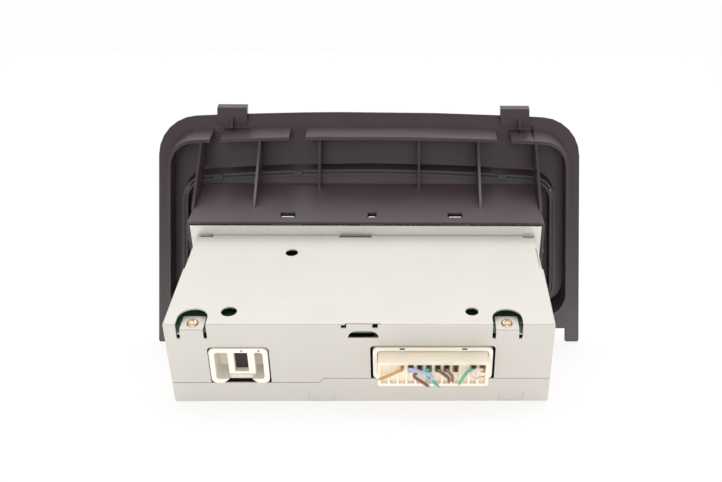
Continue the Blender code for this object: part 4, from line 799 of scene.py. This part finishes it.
# The control side: a satin panel snapped into the fascia, with a smoked display window, two
# turning knobs on zinc encoders and twelve push buttons.
panel_colour, panel_roughness, panel_rim = srgb(0.20, 0.185, 0.195), 0.42, 0.3 * mm
button_colour, button_roughness, button_rim = srgb(0.25, 0.232, 0.242), 0.40, 0.45 * mm
satin_grain, satin_relief = 0.3 * mm, 0.012 * mm
window_colour, window_tones = srgb(0.07, 0.085, 0.08), (srgb(0.05, 0.06, 0.06),
                                                        srgb(0.09, 0.11, 0.10))
window_roughness, window_haze, window_rim = 0.06, 25 * mm, 0.25 * mm
glass_colour, glass_tones = srgb(0.25, 0.36, 0.30), (srgb(0.20, 0.30, 0.25),
                                                     srgb(0.30, 0.42, 0.35))
glass_roughness, glass_cloud = 0.12, 20 * mm
encoder_rim = 0.15 * mm
satin = moulded("satin_panel", panel_colour, panel_roughness, grain=satin_grain,
                depth=satin_relief)
refined("front_panel", satin, panel_rim)
caps = moulded("button_caps", button_colour, button_roughness, grain=satin_grain,
               depth=satin_relief)
for row in ("preset", "function"):
    for index in range(1, 7):
        refined(f"{row}_button_{index}", caps, button_rim, limit=50, rounds=3)
smoked = Finish("smoked_window", window_colour, window_roughness)
hazed = smoked.cloud(window_haze, detail=4.0)
smoked.set("Base Color", smoked.blend(hazed, *window_tones))
smoked.set("Roughness", hazed * 0.08 + 0.03)
refined("display_lens", smoked, window_rim)
glassy = Finish("display_glass", glass_colour, glass_roughness)
glassy.set("Base Color", glassy.blend(glassy.cloud(glass_cloud), *glass_tones))
dress(glassy, "display_glass")
for name in ("volume", "tuning"):
    refined(f"{name}_encoder", zinc, encoder_rim)
    refined(f"{name}_shaft", zinc, encoder_rim)


# The knobs: satin black caps with a dished top, a ribbed grip, a plain skirt and a pale
# pointer line. Each turns about its shaft.
knob_radius, knob_height, knob_low = 14 * mm, 14.85 * mm, 3.1 * mm
grip_radius, skirt_height = 12.4 * mm, 3 * mm
rib_count, rib_depth = 48, 0.35 * mm
bore_radius, bore_depth = 3.3 * mm, 9 * mm
# The dished top: how far each point of it lies from the axis, and how far under the top.
dish = ((0, 0.5 * mm), (0.55 * grip_radius, 0.4 * mm), (0.86 * grip_radius, 0),
        (grip_radius - 0.6 * mm, 0), (grip_radius - 0.2 * mm, 0.5 * mm))
# The skirt: how far each point lies from the axis, and how far above the skirt's top.
skirt_top = ((grip_radius, 0.3 * mm), (grip_radius + 0.3 * mm, 0),
             (knob_radius - 0.2 * mm, -0.6 * mm), (knob_radius, -1 * mm))
grip_top, grip_foot, skirt_round = 1.2 * mm, 1 * mm, 0.3 * mm
knob_colour, knob_roughness = srgb(0.17, 0.162, 0.168), 0.36
knob_grain, knob_relief = 0.25 * mm, 0.01 * mm
pointer_colour, pointer_roughness = srgb(0.88, 0.88, 0.86), 0.4
pointer_half_width, pointer_deep, pointer_rim = 0.5 * mm, 0.5 * mm, 0.1 * mm
pointer_from, pointer_to = 0.45 * grip_radius, 0.84 * grip_radius


def ribbed_knob():
    """The knob as a turned shape whose grip is pressed in between its ribs."""
    top, skirt_at = knob_low + knob_height, knob_low + skirt_height
    smooth = [(out, top - down) for out, down in dish]
    grip = [(grip_radius, top - grip_top), (grip_radius, skirt_at + grip_foot)]
    skirt = [*((out, skirt_at + up) for out, up in skirt_top),
             (knob_radius, knob_low + skirt_round), (knob_radius - skirt_round, knob_low),
             (bore_radius, knob_low), (bore_radius, knob_low + bore_depth),
             (0, knob_low + bore_depth)]
    shape = lathed(smooth + grip + skirt, steps=4 * rib_count)
    for vert in shape.verts:
        reach = math.hypot(vert.co.x, vert.co.y)
        if abs(reach - grip_radius) < weld and skirt_at + grip_foot / 2 < vert.co.z:
            angle = math.atan2(vert.co.y, vert.co.x)
            pressed = rib_depth * (0.5 - 0.5 * math.cos(rib_count * angle))
            vert.co.x *= 1 - pressed / reach
            vert.co.y *= 1 - pressed / reach
    return shape


black = moulded("knob_black", knob_colour, knob_roughness, grain=knob_grain, depth=knob_relief)
pale = moulded("pointer_white", pointer_colour, pointer_roughness)
for name in ("volume", "tuning"):
    stand = axes((-1, 0, 0), turns[f"{name}_turn"]["axis"], turns[f"{name}_turn"]["pos_m"])
    thing = piece(f"{name}_knob_cap", ribbed_knob(), black, f"{name}_control", "knob", 0, stand)
    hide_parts(f"{name}_knob")
    line = bar((-pointer_half_width, pointer_from, knob_low + knob_height - pointer_deep),
               (pointer_half_width, pointer_to, knob_low + knob_height))
    piece(f"{name}_pointer", line, pale, f"{name}_control", "knob", pointer_rim, stand)
